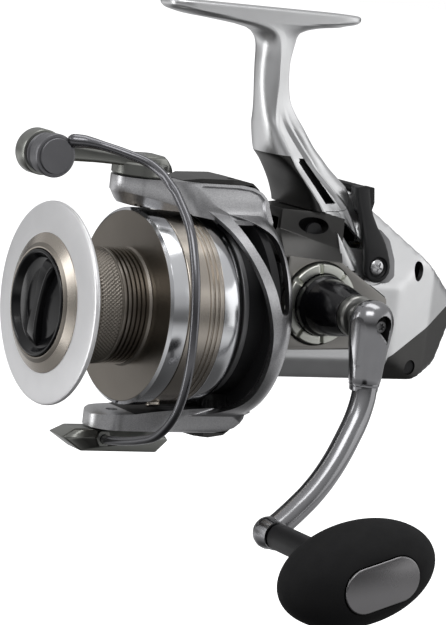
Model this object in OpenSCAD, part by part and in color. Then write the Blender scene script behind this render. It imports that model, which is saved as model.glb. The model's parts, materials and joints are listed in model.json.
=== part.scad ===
// Large spinning reel with a bait feeder lever: foot on top, spool forward (+X), handle on the +Y side.
// The origin is the middle of the foot's top face. Inside at_axis() the origin is the middle of the
// spool's front rim, and a "station" is the distance behind that rim along the main shaft.

/* [Foot and stem] */
// Length of the foot
foot_len = 79; // [70:1:90]
// Width of the foot
foot_w = 16.4; // [14:0.2:18]
// Drop from the foot's top face to the main shaft
foot_to_axis = 107.2; // [100:0.2:112]
// Half the thickness of the stem at its waist
stem_half = 6; // [5:0.5:7]

/* [Spool] */
// Radius of the front lip
lip_r = 35; // [33:0.5:36]
// Radius of the arbor that the line is wound on
arbor_r = 20.3; // [18:0.1:24]
// Radius of the rear flange and skirt
flange_r = 34.3; // [32:0.1:34.5]
// Station of the rear flange's face
flange_at = 29.4; // [26:0.1:31]
// Station of the skirt's rear end
skirt_end = 58.4; // [54:0.1:59]
// Travel of the spool along the shaft while winding
spool_stroke = 16; // [10:1:16]

/* [Rotor and bail] */
// Inner radius of the rotor's wall
rotor_in = 36; // [35.5:0.1:37]
// Outer radius of the rotor's wall
rotor_out = 38.5; // [38:0.1:40]
// Height of the upper arm's outer face above the shaft
arm_top = 45.5; // [44:0.5:47]
// Depth of the lower arm's outer face below the shaft
arm_low = 42.5; // [42:0.5:45]
// Station of the bail's two pivots
pivot_at = 30; // [28:1:32]
// Diameter of the bail wire
wire_d = 3.3; // [2.4:0.1:3.6]

/* [Drive] */
// Station of the crank's axis
crank_at = 94.4; // [92:0.2:96]
// Height of the crank's axis above the main shaft
crank_up = 7; // [6.8:0.1:8]
// Teeth of the drive gear
drive_teeth = 41; // [35:1:48]
// Teeth of the pinion
pinion_teeth = 9; // [8:1:11]
// Teeth of the small oscillation gear on the drive shaft
osc_small_teeth = 12; // [11:1:13]
// Teeth of the large oscillation gear
osc_large_teeth = 34; // [32:1:34]

/* [Crank] */
// Distance of the arm's head from the reel's middle
arm_y = 58; // [57:0.5:60]
// Distance of the knob pin's ball from the reel's middle, clear of the turning bail
ball_y = 68; // [67.5:0.5:72]
// Distance of the knob pin in front of the crank axis
pin_forward = 37.6; // [34:0.2:40]
// Distance of the knob pin below the crank axis
pin_down = 71.2; // [68:0.1:76]
// Length of the oval knob
knob_len = 56; // [50:1:60]
// Thickness of the oval knob
knob_thick = 33; // [30:1:36]

/* [Hidden] */
$fn = 64;

nose_x = 72;                 // the spool's front rim, in front of the foot's middle
gap = 0.05;                  // running clearance on a radius
thin = 0.02;                 // clearance of a seated part
shaft_r = 2.5;               // main shaft
pinion_r = 4.5;              // pinion tube
pinion_tip = 6;              // over the pinion's teeth
drive_r = 4;                 // drive shaft
bearing_r = 9;               // outside of the ball bearings
wall = 2.4;                  // casting wall
cover_y = 22;                // half the width of the housing
plate_y = 23.7;              // outer face of the side plate
seat_r = 14.7;               // opening of the side plate around the handle cap
lever_at = 118;              // station of the bait feeder lever's axis
lever_up = 20.6;             // and its height
roller_x = 7.5;              // line roller axis, in front of the spool's rim
roller_z = 51.3;
osc_module = 1;
osc_reach = osc_module * (osc_small_teeth + osc_large_teeth) / 2;
osc_at = crank_at + sqrt(osc_reach * osc_reach - crank_up * crank_up);
osc_throw = spool_stroke / 2;
slider_at = osc_at + osc_throw;
pin_x = pin_forward - crank_at;
pin_z = crank_up - pin_down;
knob_y = 121.5;              // middle of the knob
knob_tilt = 16.5;            // turn of the knob about its pin

// ---------- placing ----------
module at_axis() translate([nose_x, 0, -foot_to_axis]) children();
module at_crank() at_axis() translate([-crank_at, 0, crank_up]) children();
module at_lever() at_axis() translate([-lever_at, 0, lever_up]) children();
module at_osc() at_axis() translate([-osc_at, 0, 0]) children();
module at_pin() at_axis() translate([pin_x, 0, pin_z]) children();
module at_pivot() at_axis() translate([-pivot_at, 0, 0]) children();

// turned profile: points are [radius, station]
module turned(points) rotate([0, -90, 0]) rotate_extrude() polygon(points);
module tube_x(front, back, r_out, r_in = 0)
  translate([-front, 0, 0]) rotate([0, -90, 0]) ring(back - front, r_out, r_in);
module tube_y(from, to, r_out, r_in = 0)
  translate([0, from, 0]) rotate([-90, 0, 0]) ring(to - from, r_out, r_in);
module tube_z(from, to, r_out, r_in = 0) translate([0, 0, from]) ring(to - from, r_out, r_in);
module ring(h, r_out, r_in) difference() {
  cylinder(h = h, r = r_out);
  if (r_in > 0) translate([0, 0, -1]) cylinder(h = h + 2, r = r_in);
}
// outlines: slab_y takes [x, z], slab_x takes [y, z], slab_z takes [x, y]
module slab_y(from, to, points) translate([0, to, 0]) rotate([90, 0, 0]) linear_extrude(to - from) polygon(points);
module slab_x(from, to, points) translate([from, 0, 0]) rotate([90, 0, 90]) linear_extrude(to - from) polygon(points);
module slab_z(from, to, points) translate([0, 0, from]) linear_extrude(to - from) polygon(points);
function both_sides(half) = concat(half, [for (i = [len(half) - 1:-1:0]) [half[i][0], -half[i][1]]]);
function both_sides_yz(half) = concat(half, [for (i = [len(half) - 1:-1:0]) [-half[i][0], half[i][1]]]);

// spur gear about Z with short straight-sided teeth and backlash
module spur(teeth, module_mm, h, bore, turn = 0) {
  pitch_r = teeth * module_mm / 2;
  root_r = pitch_r - 1.0 * module_mm;
  tip_r = pitch_r + 0.75 * module_mm;
  half_root = 360 / teeth * 0.27;
  half_tip = 360 / teeth * 0.11;
  difference() {
    union() {
      cylinder(h = h, r = root_r);
      for (i = [0:teeth - 1]) rotate(turn + i * 360 / teeth) linear_extrude(h) polygon([
        [(root_r - 0.3) * cos(half_root), -(root_r - 0.3) * sin(half_root)],
        [root_r * cos(half_root), -root_r * sin(half_root)],
        [tip_r * cos(half_tip), -tip_r * sin(half_tip)],
        [tip_r * cos(half_tip), tip_r * sin(half_tip)],
        [root_r * cos(half_root), root_r * sin(half_root)],
        [(root_r - 0.3) * cos(half_root), (root_r - 0.3) * sin(half_root)]]);
    }
    translate([0, 0, -1]) cylinder(h = h + 2, r = bore);
  }
}

// ---------- housing ----------
seam_z = 38.4;
cap_line = [[-128, -12], [-159.4, 5.7], [-166, 4], [-166, -24], [-128, -24]];
panel_cut = [[-70, 20], [-105, 20], [-101.5, 37.4], [-94, seam_z], [-70, seam_z]];
cover_screw_at = [[-84.5, -16.5], [-133, 25]];
trim_screw_at = [[-95.5, 12.6, 31, 3.2], [-140.3, 16.3, -15.9, 2.6]];

// outer form of the housing, drawn in by the amount t on every side
module housing_form(t) intersection() {
  slab_y(-24, 24, [[-79 - t, -21 + t], [-142.5 + t / 2, -21 + t], [-155.5 + t, -15.3 + t], [-164 + t, 0],
    [-164.8 + t * 1.3, 7.6 - t / 2], [-112, 45.8 - t * 1.2], [-98 - t / 2, 42 - t],
    [-94 - t, 30 - t / 2], [-87, 24 - t], [-79 - t, 22.5 - t]]);
  slab_x(-170, -70, both_sides_yz([[17 - t, -21], [cover_y - t, -11.2], [cover_y - t, 13],
    [17.5 - t, 25], [9.5 - t * 0.8, 47]]));
  slab_z(-30, 60, both_sides([[-79 - t, cover_y], [-130, cover_y - t * 0.5], [-147, 17 - t], [-164 + t, 7.5 - t / 2]]));
}
module housing_shell() difference() {
  housing_form(0);
  housing_form(wall);
}
module cap_zone() slab_y(-30, 30, cap_line);
module housing_bores() {
  translate([-crank_at, 0, crank_up]) tube_y(-30, 30, bearing_r + thin);
  tube_x(70, 84, bearing_r + thin);
  translate([-lever_at, 0, lever_up]) tube_y(-30, 30, 2 + gap);
  // shallow seats under the round ends of the feeder lever
  for (side = [0, 1]) mirror([0, side, 0]) translate([-lever_at, 0, lever_up]) tube_y(20.3, 30, 6.1);
}

module foot() intersection() {
  slab_y(-9, 9, [[-72 + foot_len / 2, foot_to_axis - 2.2], [-73.2 + foot_len / 2, foot_to_axis],
    [-70.8 - foot_len / 2, foot_to_axis], [-72 - foot_len / 2, foot_to_axis - 1.6], [-94, 102.2], [-94, 97],
    [-62, 97], [-62, 99.9], [-50, 101.6]]);
  slab_z(90, 110, both_sides([[-72 + foot_len / 2, foot_w / 4], [-76 + foot_len / 2, foot_w * 0.42],
    [-82 + foot_len / 2, foot_w / 2], [-62 - foot_len / 2, foot_w / 2], [-68 - foot_len / 2, foot_w * 0.42],
    [-72 - foot_len / 2, foot_w / 4]]));
  slab_x(-115, -30, both_sides_yz([[stem_half, 96], [foot_w / 2, 103.4], [foot_w / 2, foot_to_axis]]));
}
module stem() intersection() {
  slab_y(-20, 20, [[-66, 98.8], [-71, 96.5], [-73.5, 92], [-76, 81], [-80, 55.5], [-88.5, 48], [-91.8, seam_z],
    [-117, seam_z], [-112.4, 45.4], [-109.4, 48.5], [-95, 61.5], [-88.5, 69], [-85, 76], [-83.6, 84],
    [-84, 92], [-87, 98.8]]);
  slab_x(-125, -60, both_sides_yz([[12, seam_z], [9, 50], [stem_half + 0.5, 64], [stem_half, 80],
    [stem_half, 99]]));
}

// far half of the housing, with the seat of the right bearing
module far_half() intersection() {
  difference() {
    union() {
      housing_shell();
      translate([-crank_at, 0, crank_up]) tube_y(-21, -14.5, bearing_r + 2.6);
      intersection() {
        housing_form(0);
        union() for (p = cover_screw_at) translate([p[0], 0, p[1]]) tube_y(-22, 0, 4.2);
      }
    }
    cap_zone();
    slab_y(-30, 30, panel_cut);
  }
  translate([-170, -30, -30]) cube([100, 30, 100]);
}
module roof() intersection() {
  housing_shell();
  translate([-170, -0.1, seam_z]) cube([100, 30, 20]);
}

module body() color("silver") at_axis() difference() {
  union() {
    foot();
    difference() {
      stem();
      housing_form(wall);
    }
    far_half();
    roof();
    tube_x(75, 80, 26.5, bearing_r + thin);
    tube_x(66.5, 75.5, 20, 17);
    // cheeks that hold the guide rod
    for (x = [-100, -138]) {
      translate([x, -10, -18.55]) cube([2.5, 9.5, 10.75]);
      translate([x, -3.5, -12.5]) cube([2.5, 7, 5]);
    }
    // rib that holds the feeder housing
    translate([-146, -16, -1.2]) cube([5, 8, 4.2]);
  }
  housing_bores();
  translate([0, 0, -10]) tube_x(96, 140, 1.5 + thin);
  tube_x(138.5, 152, 10 + thin);
  for (p = cover_screw_at) translate([p[0], 0, p[1]]) {
    tube_y(-30, -12, 3);
    tube_y(-13, 1, 1.5 + thin);
  }
  // recessed slot in each flank of the stem
  for (side = [-1, 1]) translate([-95.5, side * 13, 48]) rotate([0, 41, 0]) cube([3, 6, 16], center = true);
}

module side_cover() color("silver") at_axis() difference() {
  intersection() {
    union() {
      housing_shell();
      translate([-crank_at, 0, crank_up]) tube_y(14.5, 21.5, bearing_r + 2.6);
      translate([-osc_at, 0, 0]) tube_y(13, 20.5, 5);
      intersection() {
        housing_form(0);
        union() for (p = cover_screw_at) translate([p[0], 0, p[1]]) tube_y(0, 12, 4.2);
      }
    }
    translate([-170, thin, -30]) cube([100, 30, 30 + seam_z - thin]);
  }
  cap_zone();
  slab_y(-30, 30, panel_cut);
  housing_bores();
  translate([-osc_at, 0, 0]) tube_y(12, 19, 3 + thin);
  tube_x(70, 80 + thin, 26.5 + thin);
  for (p = cover_screw_at) translate([p[0], 0, p[1]]) tube_y(-1, 9, 1.5 + thin);
}

module front_panel() color("dimgray") at_axis() difference() {
  intersection() {
    slab_y(-24, 24, [[-79.2, 20.2], [-104.8, 20.2], [-101.4, 37.2], [-93.8, seam_z - 0.2], [-92.5, 33], [-86.5, 25.5], [-79.2, 23]]);
    slab_x(-120, -70, both_sides_yz([[19, 20], [17.5, 25], [12.3, seam_z]]));
  }
  housing_form(wall + 0.6);
  trim_holes();
  tube_x(70, 80 + thin, 26.5 + thin);
}
// hole of a trim screw through each flank
module trim_holes() for (p = trim_screw_at) for (side = [0, 1])
  mirror([0, side, 0]) translate([p[0], 0, p[2]]) tube_y(p[1] - 3, 25, p[3]);

plate_outline = [[-80.2, 23.4], [-102.7, 21.6], [-123, 9.6], [-123.4, 7.6], [-112, -8.7], [-80.2, -9.8]];
module side_plate() color("gray") at_axis() difference() {
  slab_y(cover_y + thin, plate_y, plate_outline);
  translate([-crank_at, 0, crank_up]) tube_y(20, 26, seat_r);
  slab_y(20, 26, [[-79, 16], [-79, 30], [-106, 30], [-103, 20.1], [-86, 20.1]]);
}

module rear_cap() color("dimgray") at_axis() difference() {
  intersection() {
    housing_shell();
    slab_y(-30, 30, [[-128.2, -12.2], [-159.4, 5.4], [-166, 3.7], [-166, -24], [-128.2, -24]]);
  }
  trim_holes();
}

module handle_cap() color("gainsboro") at_crank() difference() {
  tube_y(cover_y + thin, 26, seat_r - 0.5, 11);
  for (a = [0:45:315]) rotate([0, a, 0]) translate([12.6, 26, 0]) cube([3, 3, 2.4], center = true);
}

module right_cap() color("dimgray") at_crank() difference() {
  union() {
    tube_y(-25, -cover_y - thin, 14);
    tube_y(-27.5, -24.9, 11);
  }
  tube_y(-24, -20, drive_r + 1);
}

module bearing_y(from, r_in) difference() {
  tube_y(from, from + 5, bearing_r, r_in);
  tube_y(from - 0.1, from + 0.4, bearing_r - 1.6, r_in + 1.4);
  tube_y(from + 4.6, from + 5.1, bearing_r - 1.6, r_in + 1.4);
}
module left_bearing() color("lightgray") at_crank() bearing_y(15, drive_r + thin);
module right_bearing() color("lightgray") at_crank() bearing_y(-20, drive_r + thin);
module pinion_bearing() color("lightgray") at_axis() tube_x(75.6, 79.6, bearing_r, pinion_r + gap);
module roller_clutch() color("darkgray") at_axis() tube_x(67, 74.6, 17 - thin, 8 + gap);

module guide_rod() color("silver") at_axis() translate([0, 0, -10]) tube_x(97.2, 138.2, 1.5);
module osc_axle() color("silver") at_osc() {
  tube_y(5, 18.9, 3);
  tube_y(4, 5, 4);
}
module feeder_housing() color("darkgray") at_axis() difference() {
  tube_x(139, 150, 10);
  tube_x(140.5, 151, 8.2);
  tube_x(138, 141, shaft_r + gap);
}
module feeder_washers() color("peru") at_axis() for (i = [0:2])
  tube_x(141 + i * 2, 142.4 + i * 2, 8, shaft_r + gap);

module lever_boss() color("dimgray") at_lever() difference() {
  for (side = [-1, 1]) intersection() {
    tube_y(min(side * 15.5, side * 16.5), max(side * 15.5, side * 16.5), 12.2);
    translate([-20, -30, -6]) cube([21, 60, 30]);
  }
  translate([lever_at, 0, -lever_up]) housing_form(-0.02);
  tube_y(-30, 30, 2 + gap);
}

module cover_screws() color("silver") at_axis() for (p = cover_screw_at)
  translate([p[0], 0, p[1]]) {
    tube_y(-12.5, 8, 1.5);
    tube_y(-14.6, -12 - thin, 2.8);
  }
module trim_screws() color("#303030") at_axis() for (p = trim_screw_at) for (side = [0, 1])
  mirror([0, side, 0]) translate([p[0], 0, p[2]]) tube_y(p[1], p[1] + 1.3, p[3] - thin);

// ---------- bait feeder lever ----------
lever_knee = [2.2, 19.4, 11];    // middle of a leg's bend, from the lever's axis
lever_top = [4.9, 14, 25.6];     // middle of a leg's top
module leg_block(at, side, size) translate([at[0], side * at[1], at[2]]) cube(size, center = true);
module feeder_lever() color("#202020") at_lever() difference() {
  union() {
    for (side = [-1, 1]) {
      hull() {
        translate([0, side * 22.35, 0]) rotate([90, 0, 0]) cylinder(h = 2.5, r = 5.4, center = true, $fn = 32);
        leg_block(lever_knee, side, [7, 3, 3]);
      }
      hull() {
        leg_block(lever_knee, side, [7, 3, 3]);
        leg_block(lever_top, side, [5, 3, 3]);
      }
    }
    slab_y(-15, 15, [[-0.6, 24.4], [4.9, 25.7], [5.3, 27.6], [-0.2, 27.6]]);
  }
  tube_y(-30, 30, 2.2);
}
module lever_shaft() color("silver") at_lever() {
  tube_y(-21, 21, 2);
  // finger that works the feeder
  translate([-9, -1.5, -1.6]) cube([9, 3, 3.2]);
}
module lever_screws() color("silver") at_lever() for (side = [-1, 1])
  tube_y(min(side * 21.05, side * 23.9), max(side * 21.05, side * 23.9), 2.18);

// ---------- rotor ----------
// front edge of the near wall, [x, z]: everything in front of it is cut away
near_rim = [[-30, 39], [-50, 37.4], [-53.6, 33.7], [-56.7, 29.6], [-59.8, 23.8], [-62.3, 18.2], [-64.6, 11.9],
  [-66.8, 4], [-68.3, -3], [-69.2, -12], [-69.4, -20], [-68.8, -26.5], [-66.2, -31], [-60, -34.2], [-52, -36.2],
  [-30, -37.2]];
leaf = [[-58.3, 35.6], [-60.4, 31.3], [-63.3, 25], [-66, 19.3], [-68.6, 12.4], [-69.9, 7.6], [-71, 5], [-72.3, 4.4],
  [-73.3, 5.4], [-73.7, 8.5], [-73.9, 20], [-73.8, 25.5], [-72.8, 29.3], [-70, 31.9], [-64.5, 34.4]];
module arm(top) {
  sign = top ? 1 : -1;
  outer = top ? arm_top : arm_low;
  mirror([0, 0, top ? 0 : 1]) intersection() {
    slab_z(30, outer, concat(
      [for (a = [-90:15:90]) [-pivot_at + 9.7 * cos(a), 9.7 * sin(a)]],
      [[-46, 11.4], [-53, 13.6], [-60, 16], [-67, 17], [-76, 17], [-76, -17], [-67, -17], [-60, -16], [-53, -13.6],
        [-46, -11.4]]));
    // sides that lean in towards the top
    slab_x(-80, -15, both_sides_yz([[17, 30], [17, 33.8], [13.6, outer - 7], [11.9, outer - 2], [10.9, outer - 0.3],
      [10.9, outer + 1]]));
    slab_y(-18, 18, [[-19, rotor_in + 3], [-21, rotor_in + 1.6], [-26, rotor_in + 0.6], [-34, rotor_in + 0.4],
      [-60, 32.6], [-76, 32.6], [-76, outer - 4.5], [-70, outer], [-19, outer]]);
  }
}
module rotor_wall() difference() {
  turned([[rotor_in, 40], [rotor_out, 40], [rotor_out, 70], [rotor_out - 1, 76], [rotor_in - 0.5, 76],
    [rotor_in - 0.5, 72]]);
  slab_y(0, 60, near_rim);
  mirror([0, 1, 0]) mirror([0, 0, 1]) slab_y(0, 60, near_rim);
  slab_y(8, 60, leaf);
  mirror([0, 1, 0]) mirror([0, 0, 1]) slab_y(8, 60, leaf);
}
module rotor() color("silver") at_axis() difference() {
  union() {
    rotor_wall();
    arm(true);
    arm(false);
    turned([[pinion_r + thin, 62.5], [30, 62.5], [30, 68.5], [rotor_in + 0.2, 68.5], [rotor_in + 0.2, 71.5],
      [30, 71.5], [30, 74.5], [27.6, 74.5], [27.6, 65.5], [pinion_r + thin, 65.5]]);
  }
  tube_x(10, 62.4, rotor_in);
  tube_x(76, 90, 40);
  for (up = [0, 1]) mirror([0, 0, up]) translate([-pivot_at, 0, 0]) tube_z(34, 50, 2 + gap);
  // cavity of the bail spring in the upper arm
  translate([-64, -3.6, 39.6]) cube([27, 7.2, 5.95]);
}
module inner_cup() color("#404040") at_axis() tube_x(60.3, 62.4, 30, 26.5);
module rotor_nut() color("silver") at_axis() translate([-58.4, 0, 0]) rotate([0, -90, 0]) difference() {
  cylinder(h = 4, r = 8, $fn = 6);
  translate([0, 0, -1]) cylinder(h = 6, r = pinion_r + thin);
}
module clutch_sleeve() color("silver") at_axis() tube_x(65.6, 75.2, 8, pinion_r + thin);
// [angle, radius] of one pinion tooth
pinion_tooth = [[-13, 4.7], [-7, pinion_tip], [7, pinion_tip], [13, 4.7]];
module pinion() color("goldenrod") at_axis() difference() {
  union() {
    tube_x(57, 83, pinion_r);
    translate([-89, 0, 0]) rotate([0, 90, 0]) linear_extrude(6.5) polygon([for (i = [0:pinion_teeth - 1])
      for (t = pinion_tooth) t[1] * [cos(i * 360 / pinion_teeth + t[0]), sin(i * 360 / pinion_teeth + t[0])]]);
  }
  tube_x(56, 90, shaft_r + gap);
}
module cover_plan(front, back, z0, z1) slab_z(z0, z1, both_sides([[front, 6], [front - 6, 9.5], [-62, 10.6],
  [back + 4, 10.6], [back, 9]]));
module arm_cover(front, outer) difference() {
  intersection() {
    cover_plan(front, -76, outer - 4.4, outer + 1.7);
    slab_y(-14, 14, [[front, outer + thin], [front - 6, outer + 1.3], [-64, outer + 1.7], [-70, outer + 0.8],
      [-76, outer - 3.6], [-76, outer - 4.46], [-70.04, outer + thin]]);
  }
  translate([arm_screw_at[0], arm_screw_at[1], 0]) tube_z(outer - 1, outer + 4, 1.6 + thin);
}
module upper_arm_cover() color("#505050") at_axis() arm_cover(-44, arm_top);
module lower_arm_cover() color("#505050") at_axis() mirror([0, 0, 1]) arm_cover(-52.5, arm_low);
module bail_spring() color("silver") at_axis() translate([0, 0, 42.4]) for (i = [0:7])
  tube_x(40 + i * 2.6, 41.2 + i * 2.6, 2.4, 1.5);
arm_screw_at = [-63, 7.2];
module arm_screws() color("silver") at_axis() {
  translate([arm_screw_at[0], arm_screw_at[1], 0]) tube_z(arm_top + thin, arm_top + 1.2, 1.6);
  translate([arm_screw_at[0], arm_screw_at[1], 0]) tube_z(-arm_low - 1.2, -arm_low - thin, 1.6);
}

// ---------- bail ----------
module bail_lever() color("#7d8077") at_axis() difference() {
  union() {
    translate([-pivot_at, 0, 0]) tube_z(arm_top + 0.3, arm_top + 5, 9.7);
    // bar from the pivot forward to the roller's far disc
    hull() {
      translate([-pivot_at, -0.5, 0]) tube_z(arm_top + 3.3, arm_top + 7.8, 6.3, $fn = 32);
      translate([roller_x - 6, -6.2, roller_z - 2.6]) cube([6, 5, 6]);
    }
    translate([-pivot_at - 10.8, -5, arm_top + 2.4]) cube([10.8, 10, 5.2]);
    translate([roller_x, 0, roller_z]) tube_y(-7, -0.1, 7.8);
  }
  translate([-pivot_at, 0, 0]) tube_z(arm_top - 1, arm_top + 12, 1.9);
  translate([roller_x, 0, roller_z]) tube_y(-20, 5, 1.9);
  // room for the roller
  translate([roller_x, 0, roller_z]) tube_y(-0.1, 8, 7.5);
}
module wire_boss() color("#3c3c40") at_axis() difference() {
  union() {
    translate([roller_x, 0, roller_z]) tube_y(5.9, 8.7, 7.45);
    translate([roller_x, 0, roller_z]) tube_y(8.7, 9.5, 6.1);
    // socket of the wire, clear of the roller
    intersection() {
      along_wire(-1.5, 4.2, 2.6);
      translate([-30, 5.9, 40]) cube([60, 30, 30]);
    }
  }
  translate([roller_x, 0, roller_z]) tube_y(5, 7.5, 1.9);
  along_wire(-0.05, 6, wire_d / 2 + thin);
}
// round bar along the straight start of the wire
module along_wire(from, to, r) translate(wire_start) rotate([0, acos(wire_dir[2]), atan2(wire_dir[1], wire_dir[0])])
  translate([0, 0, from]) cylinder(h = to - from, r = r);
module roller_pin() color("silver") at_axis() translate([roller_x, 0, roller_z]) {
  tube_y(-6.8, 7.4, 1.85);
}
module line_roller() color("#303035") at_axis() translate([roller_x, 0, roller_z]) rotate([-90, 0, 0])
  rotate_extrude() polygon([[1.85 + gap, 0.1], [6.9, 0.1], [6.9, 0.8], [5.3, 1.4], [5.3, 2], [7.1, 2.9],
    [7.1, 5.7], [1.85 + gap, 5.7]]);

// centre line of the wire, from the socket in the roller's boss to the socket in the lower arm
wire_start = [3.2, 7.6, 56.8];
wire_dir = [-0.868, 0.492, 0.02] / norm([-0.868, 0.492, 0.02]);
wire_path = concat([for (d = [0, 2, 4, 6.2]) wire_start + d * wire_dir], [[-7.4, 13.2, 56.2], [-13.6, 17.6, 54.7],
  [-19.2, 23.6, 52.7], [-21.9, 29.2, 49.9], [-22.9, 34.2, 46.8], [-23.9, 38.4, 43.2], [-24, 48.5, 34],
  [-23.5, 55.4, 22], [-23.3, 58.4, 12],
  [-23.5, 59.3, 1.5], [-23.8, 58.8, -10], [-24.2, 55.8, -21.2], [-24.2, 50.9, -30], [-24.6, 41.6, -37.2],
  [-24.5, 31, -41], [-24.4, 19.5, -43.8], [-24.4, 12, -45.2], [-24.4, 8.5, -45.8], [-24.4, 6, -45.8],
  [-24.4, 4, -45.8], [-24.4, 2.2, -45.8]]);
function mix3(p0, p1, p2, p3, t) = 0.5 * (2 * p1 + (p2 - p0) * t + (2 * p0 - 5 * p1 + 4 * p2 - p3) * t * t
  + (3 * p1 - p0 - 3 * p2 + p3) * t * t * t);
function spline(p, steps) = let (n = len(p)) [for (i = [0:n - 2]) for (k = [0:steps - 1])
  mix3(p[max(i - 1, 0)], p[i], p[i + 1], p[min(i + 2, n - 1)], k / steps), p[n - 1]];
// skin of a round bar along a list of points
function skin(p, r, sides) = let (n = len(p)) [for (i = [0:n - 1])
  let (d = p[min(i + 1, n - 1)] - p[max(i - 1, 0)], a = d / norm(d),
       s = cross(a, [1, 0, 0]), u = s / norm(s), w = cross(a, u))
  for (k = [0:sides - 1]) p[i] + r * (cos(k * 360 / sides) * u + sin(k * 360 / sides) * w)];
module bar_along(path, r, sides) {
  n = len(path);
  polyhedron(points = skin(path, r, sides), faces = concat(
    [[for (k = [0:sides - 1]) k]],
    [for (i = [0:n - 2]) for (k = [0:sides - 1]) [i * sides + k, (i + 1) * sides + k,
      (i + 1) * sides + (k + 1) % sides, i * sides + (k + 1) % sides]],
    [[for (k = [sides - 1:-1:0]) (n - 1) * sides + k]]));
}
module bail_wire() color("#505055") at_axis() bar_along(spline(wire_path, 3), wire_d / 2, 12);

module lower_bail_arm() color("#7d8077") at_axis() difference() {
  intersection() {
    slab_y(-6, 6, [[-9, -45.5], [-14, -arm_low - 0.3], [-48, -arm_low - 0.3], [-51, -46.5], [-47, -51], [-17, -50.6]]);
    slab_x(-60, 0, both_sides_yz([[4.5, -52], [5.6, -46], [4.5, -arm_low]]));
  }
  translate([-pivot_at, 0, 0]) tube_z(-60, -30, 1.9);
  translate([-24.4, 0, -45.8]) tube_y(1.8, 8, wire_d / 2 + thin);
}
module bail_pivot_screws() color("silver") at_pivot() {
  tube_z(rotor_in + 1.2, arm_top + 7.6, 1.88);
  tube_z(-50, -rotor_in - 1.2, 1.88);
}

// ---------- shaft, spool and drag ----------
module main_shaft() color("silver") at_axis() tube_x(-1.5, 152, shaft_r);
module slider() color("darkgray") at_axis() difference() {
  union() {
    translate([-slider_at - 5, -5.9, -6]) cube([9.4, 8.7, 12]);
    translate([-slider_at - 5, -3, -13]) cube([9.4, 6, 7.5]);
  }
  tube_x(90, 150, shaft_r + thin);
  translate([0, 0, -10]) tube_x(90, 150, 1.5 + gap);
  translate([-slider_at - 2.2, 1.8, -20]) cube([4.4, 3, 40]);
}
module spool_seat() color("dimgray") at_axis() tube_x(33.4, 40, 9, shaft_r + thin);
module spool() color("#8f887c") at_axis() turned([
  [18.6, -4.1], [lip_r - 11, -1.5], [lip_r - 11, 2.6], [arbor_r + 1, 3.5], [arbor_r, 4.5], [arbor_r, flange_at],
  [flange_r - 1.2, flange_at], [flange_r, flange_at + 0.8], [flange_r, 36], [flange_r - 0.8, 36.4],
  [flange_r - 0.8, 37.2], [flange_r - 0.4, 37.4], [flange_r - 0.4, 54], [flange_r - 1.4, skirt_end],
  [31.4, skirt_end], [31.4, 33], [9.5, 33], [shaft_r + gap, 33], [shaft_r + gap, 21], [15.2, 21], [15.2, 5],
  [18.6, 5]]);
module spool_lip() color("lightgray") at_axis() turned([
  [lip_r - 11 + thin, -1.5], [lip_r - 0.8, -0.2], [lip_r, 0.5], [lip_r, 1.2], [lip_r - 1.5, 2.4],
  [lip_r - 11 + thin, 2.58]]);
module line_clip() color("silver") at_axis() rotate([-160, 0, 0]) translate([-39.3, 0, flange_r - 0.36])
  cylinder(h = 0.9, r = 2.6);
module drag_discs() color("silver") at_axis() for (i = [0:3])
  tube_x(8.2 + i * 3.2, 9.6 + i * 3.2, 15, shaft_r + gap);
module drag_felts() color("sienna") at_axis() for (i = [0:3])
  tube_x(9.65 + i * 3.2, 11.35 + i * 3.2, 14.6, shaft_r + gap);
module drag_knob() color("#181818") at_axis() difference() {
  union() {
    turned([[0, -2.6], [12, -2.4], [15.5, -3.4], [17.2, -5], [18.2, -4.6], [18.4, -3.8], [18.4, 2], [17.6, 4.6],
      [0, 4.6]]);
    slab_x(0, 4.9, [[-3.4, -15], [3.4, -15], [2.6, 0], [3.4, 15], [-3.4, 15], [-2.6, 0]]);
  }
  tube_x(-1.6, 5, shaft_r + gap);
}
module drag_spring() color("silver") at_axis() for (i = [0:1])
  tube_x(4.7 + i * 1.6, 5.7 + i * 1.6, 6 + i, shaft_r + gap);

// ---------- gears ----------
// a tooth of the small gear points at the large one, and a gap of the large one faces it
mesh_angle = atan2(-crank_up, -(osc_at - crank_at));
module osc_gear() color("goldenrod") at_osc() {
  translate([0, 6, 0]) rotate([-90, 0, 0])
    spur(osc_large_teeth, osc_module, 3, 3 + gap, -mesh_angle + 180 + 180 / osc_large_teeth);
  translate([-osc_throw, 3.2, 0]) tube_y(0, 2.9, 2);
}
module drive_gear() color("goldenrod") at_crank() {
  difference() {
    union() {
      tube_y(-10, -7.2, 13);
      for (i = [0:drive_teeth - 1]) rotate([0, i * 360 / drive_teeth, 0])
        translate([9.5, -7.3, -0.35]) cube([3.4, 1.2, 0.7]);
    }
    tube_y(-11, -5, drive_r + thin);
  }
  translate([0, 6, 0]) rotate([-90, 0, 0]) spur(osc_small_teeth, osc_module, 3, drive_r + thin, -mesh_angle);
}
module drive_shaft() color("silver") at_crank() {
  tube_y(-23.5, 52, drive_r);
  tube_y(-6.9, -4.9, 6);
}

// ---------- crank ----------
module crank_sleeve() color("#101014") at_crank() rotate([-90, 0, 0]) difference() {
  rotate_extrude() polygon([[0, 26.4], [10.6, 26.4], [10.9, 27.4], [10.6, 29.5], [9.9, 30.2], [9.4, 35], [8.2, 41],
    [7.4, 46.4], [0, 46.4]]);
  translate([0, 0, 20]) cylinder(h = 40, r = drive_r + thin);
}
module crank_collar() color("gray") at_crank() tube_y(46.5, 50.4, 7.3, drive_r + thin);
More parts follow.
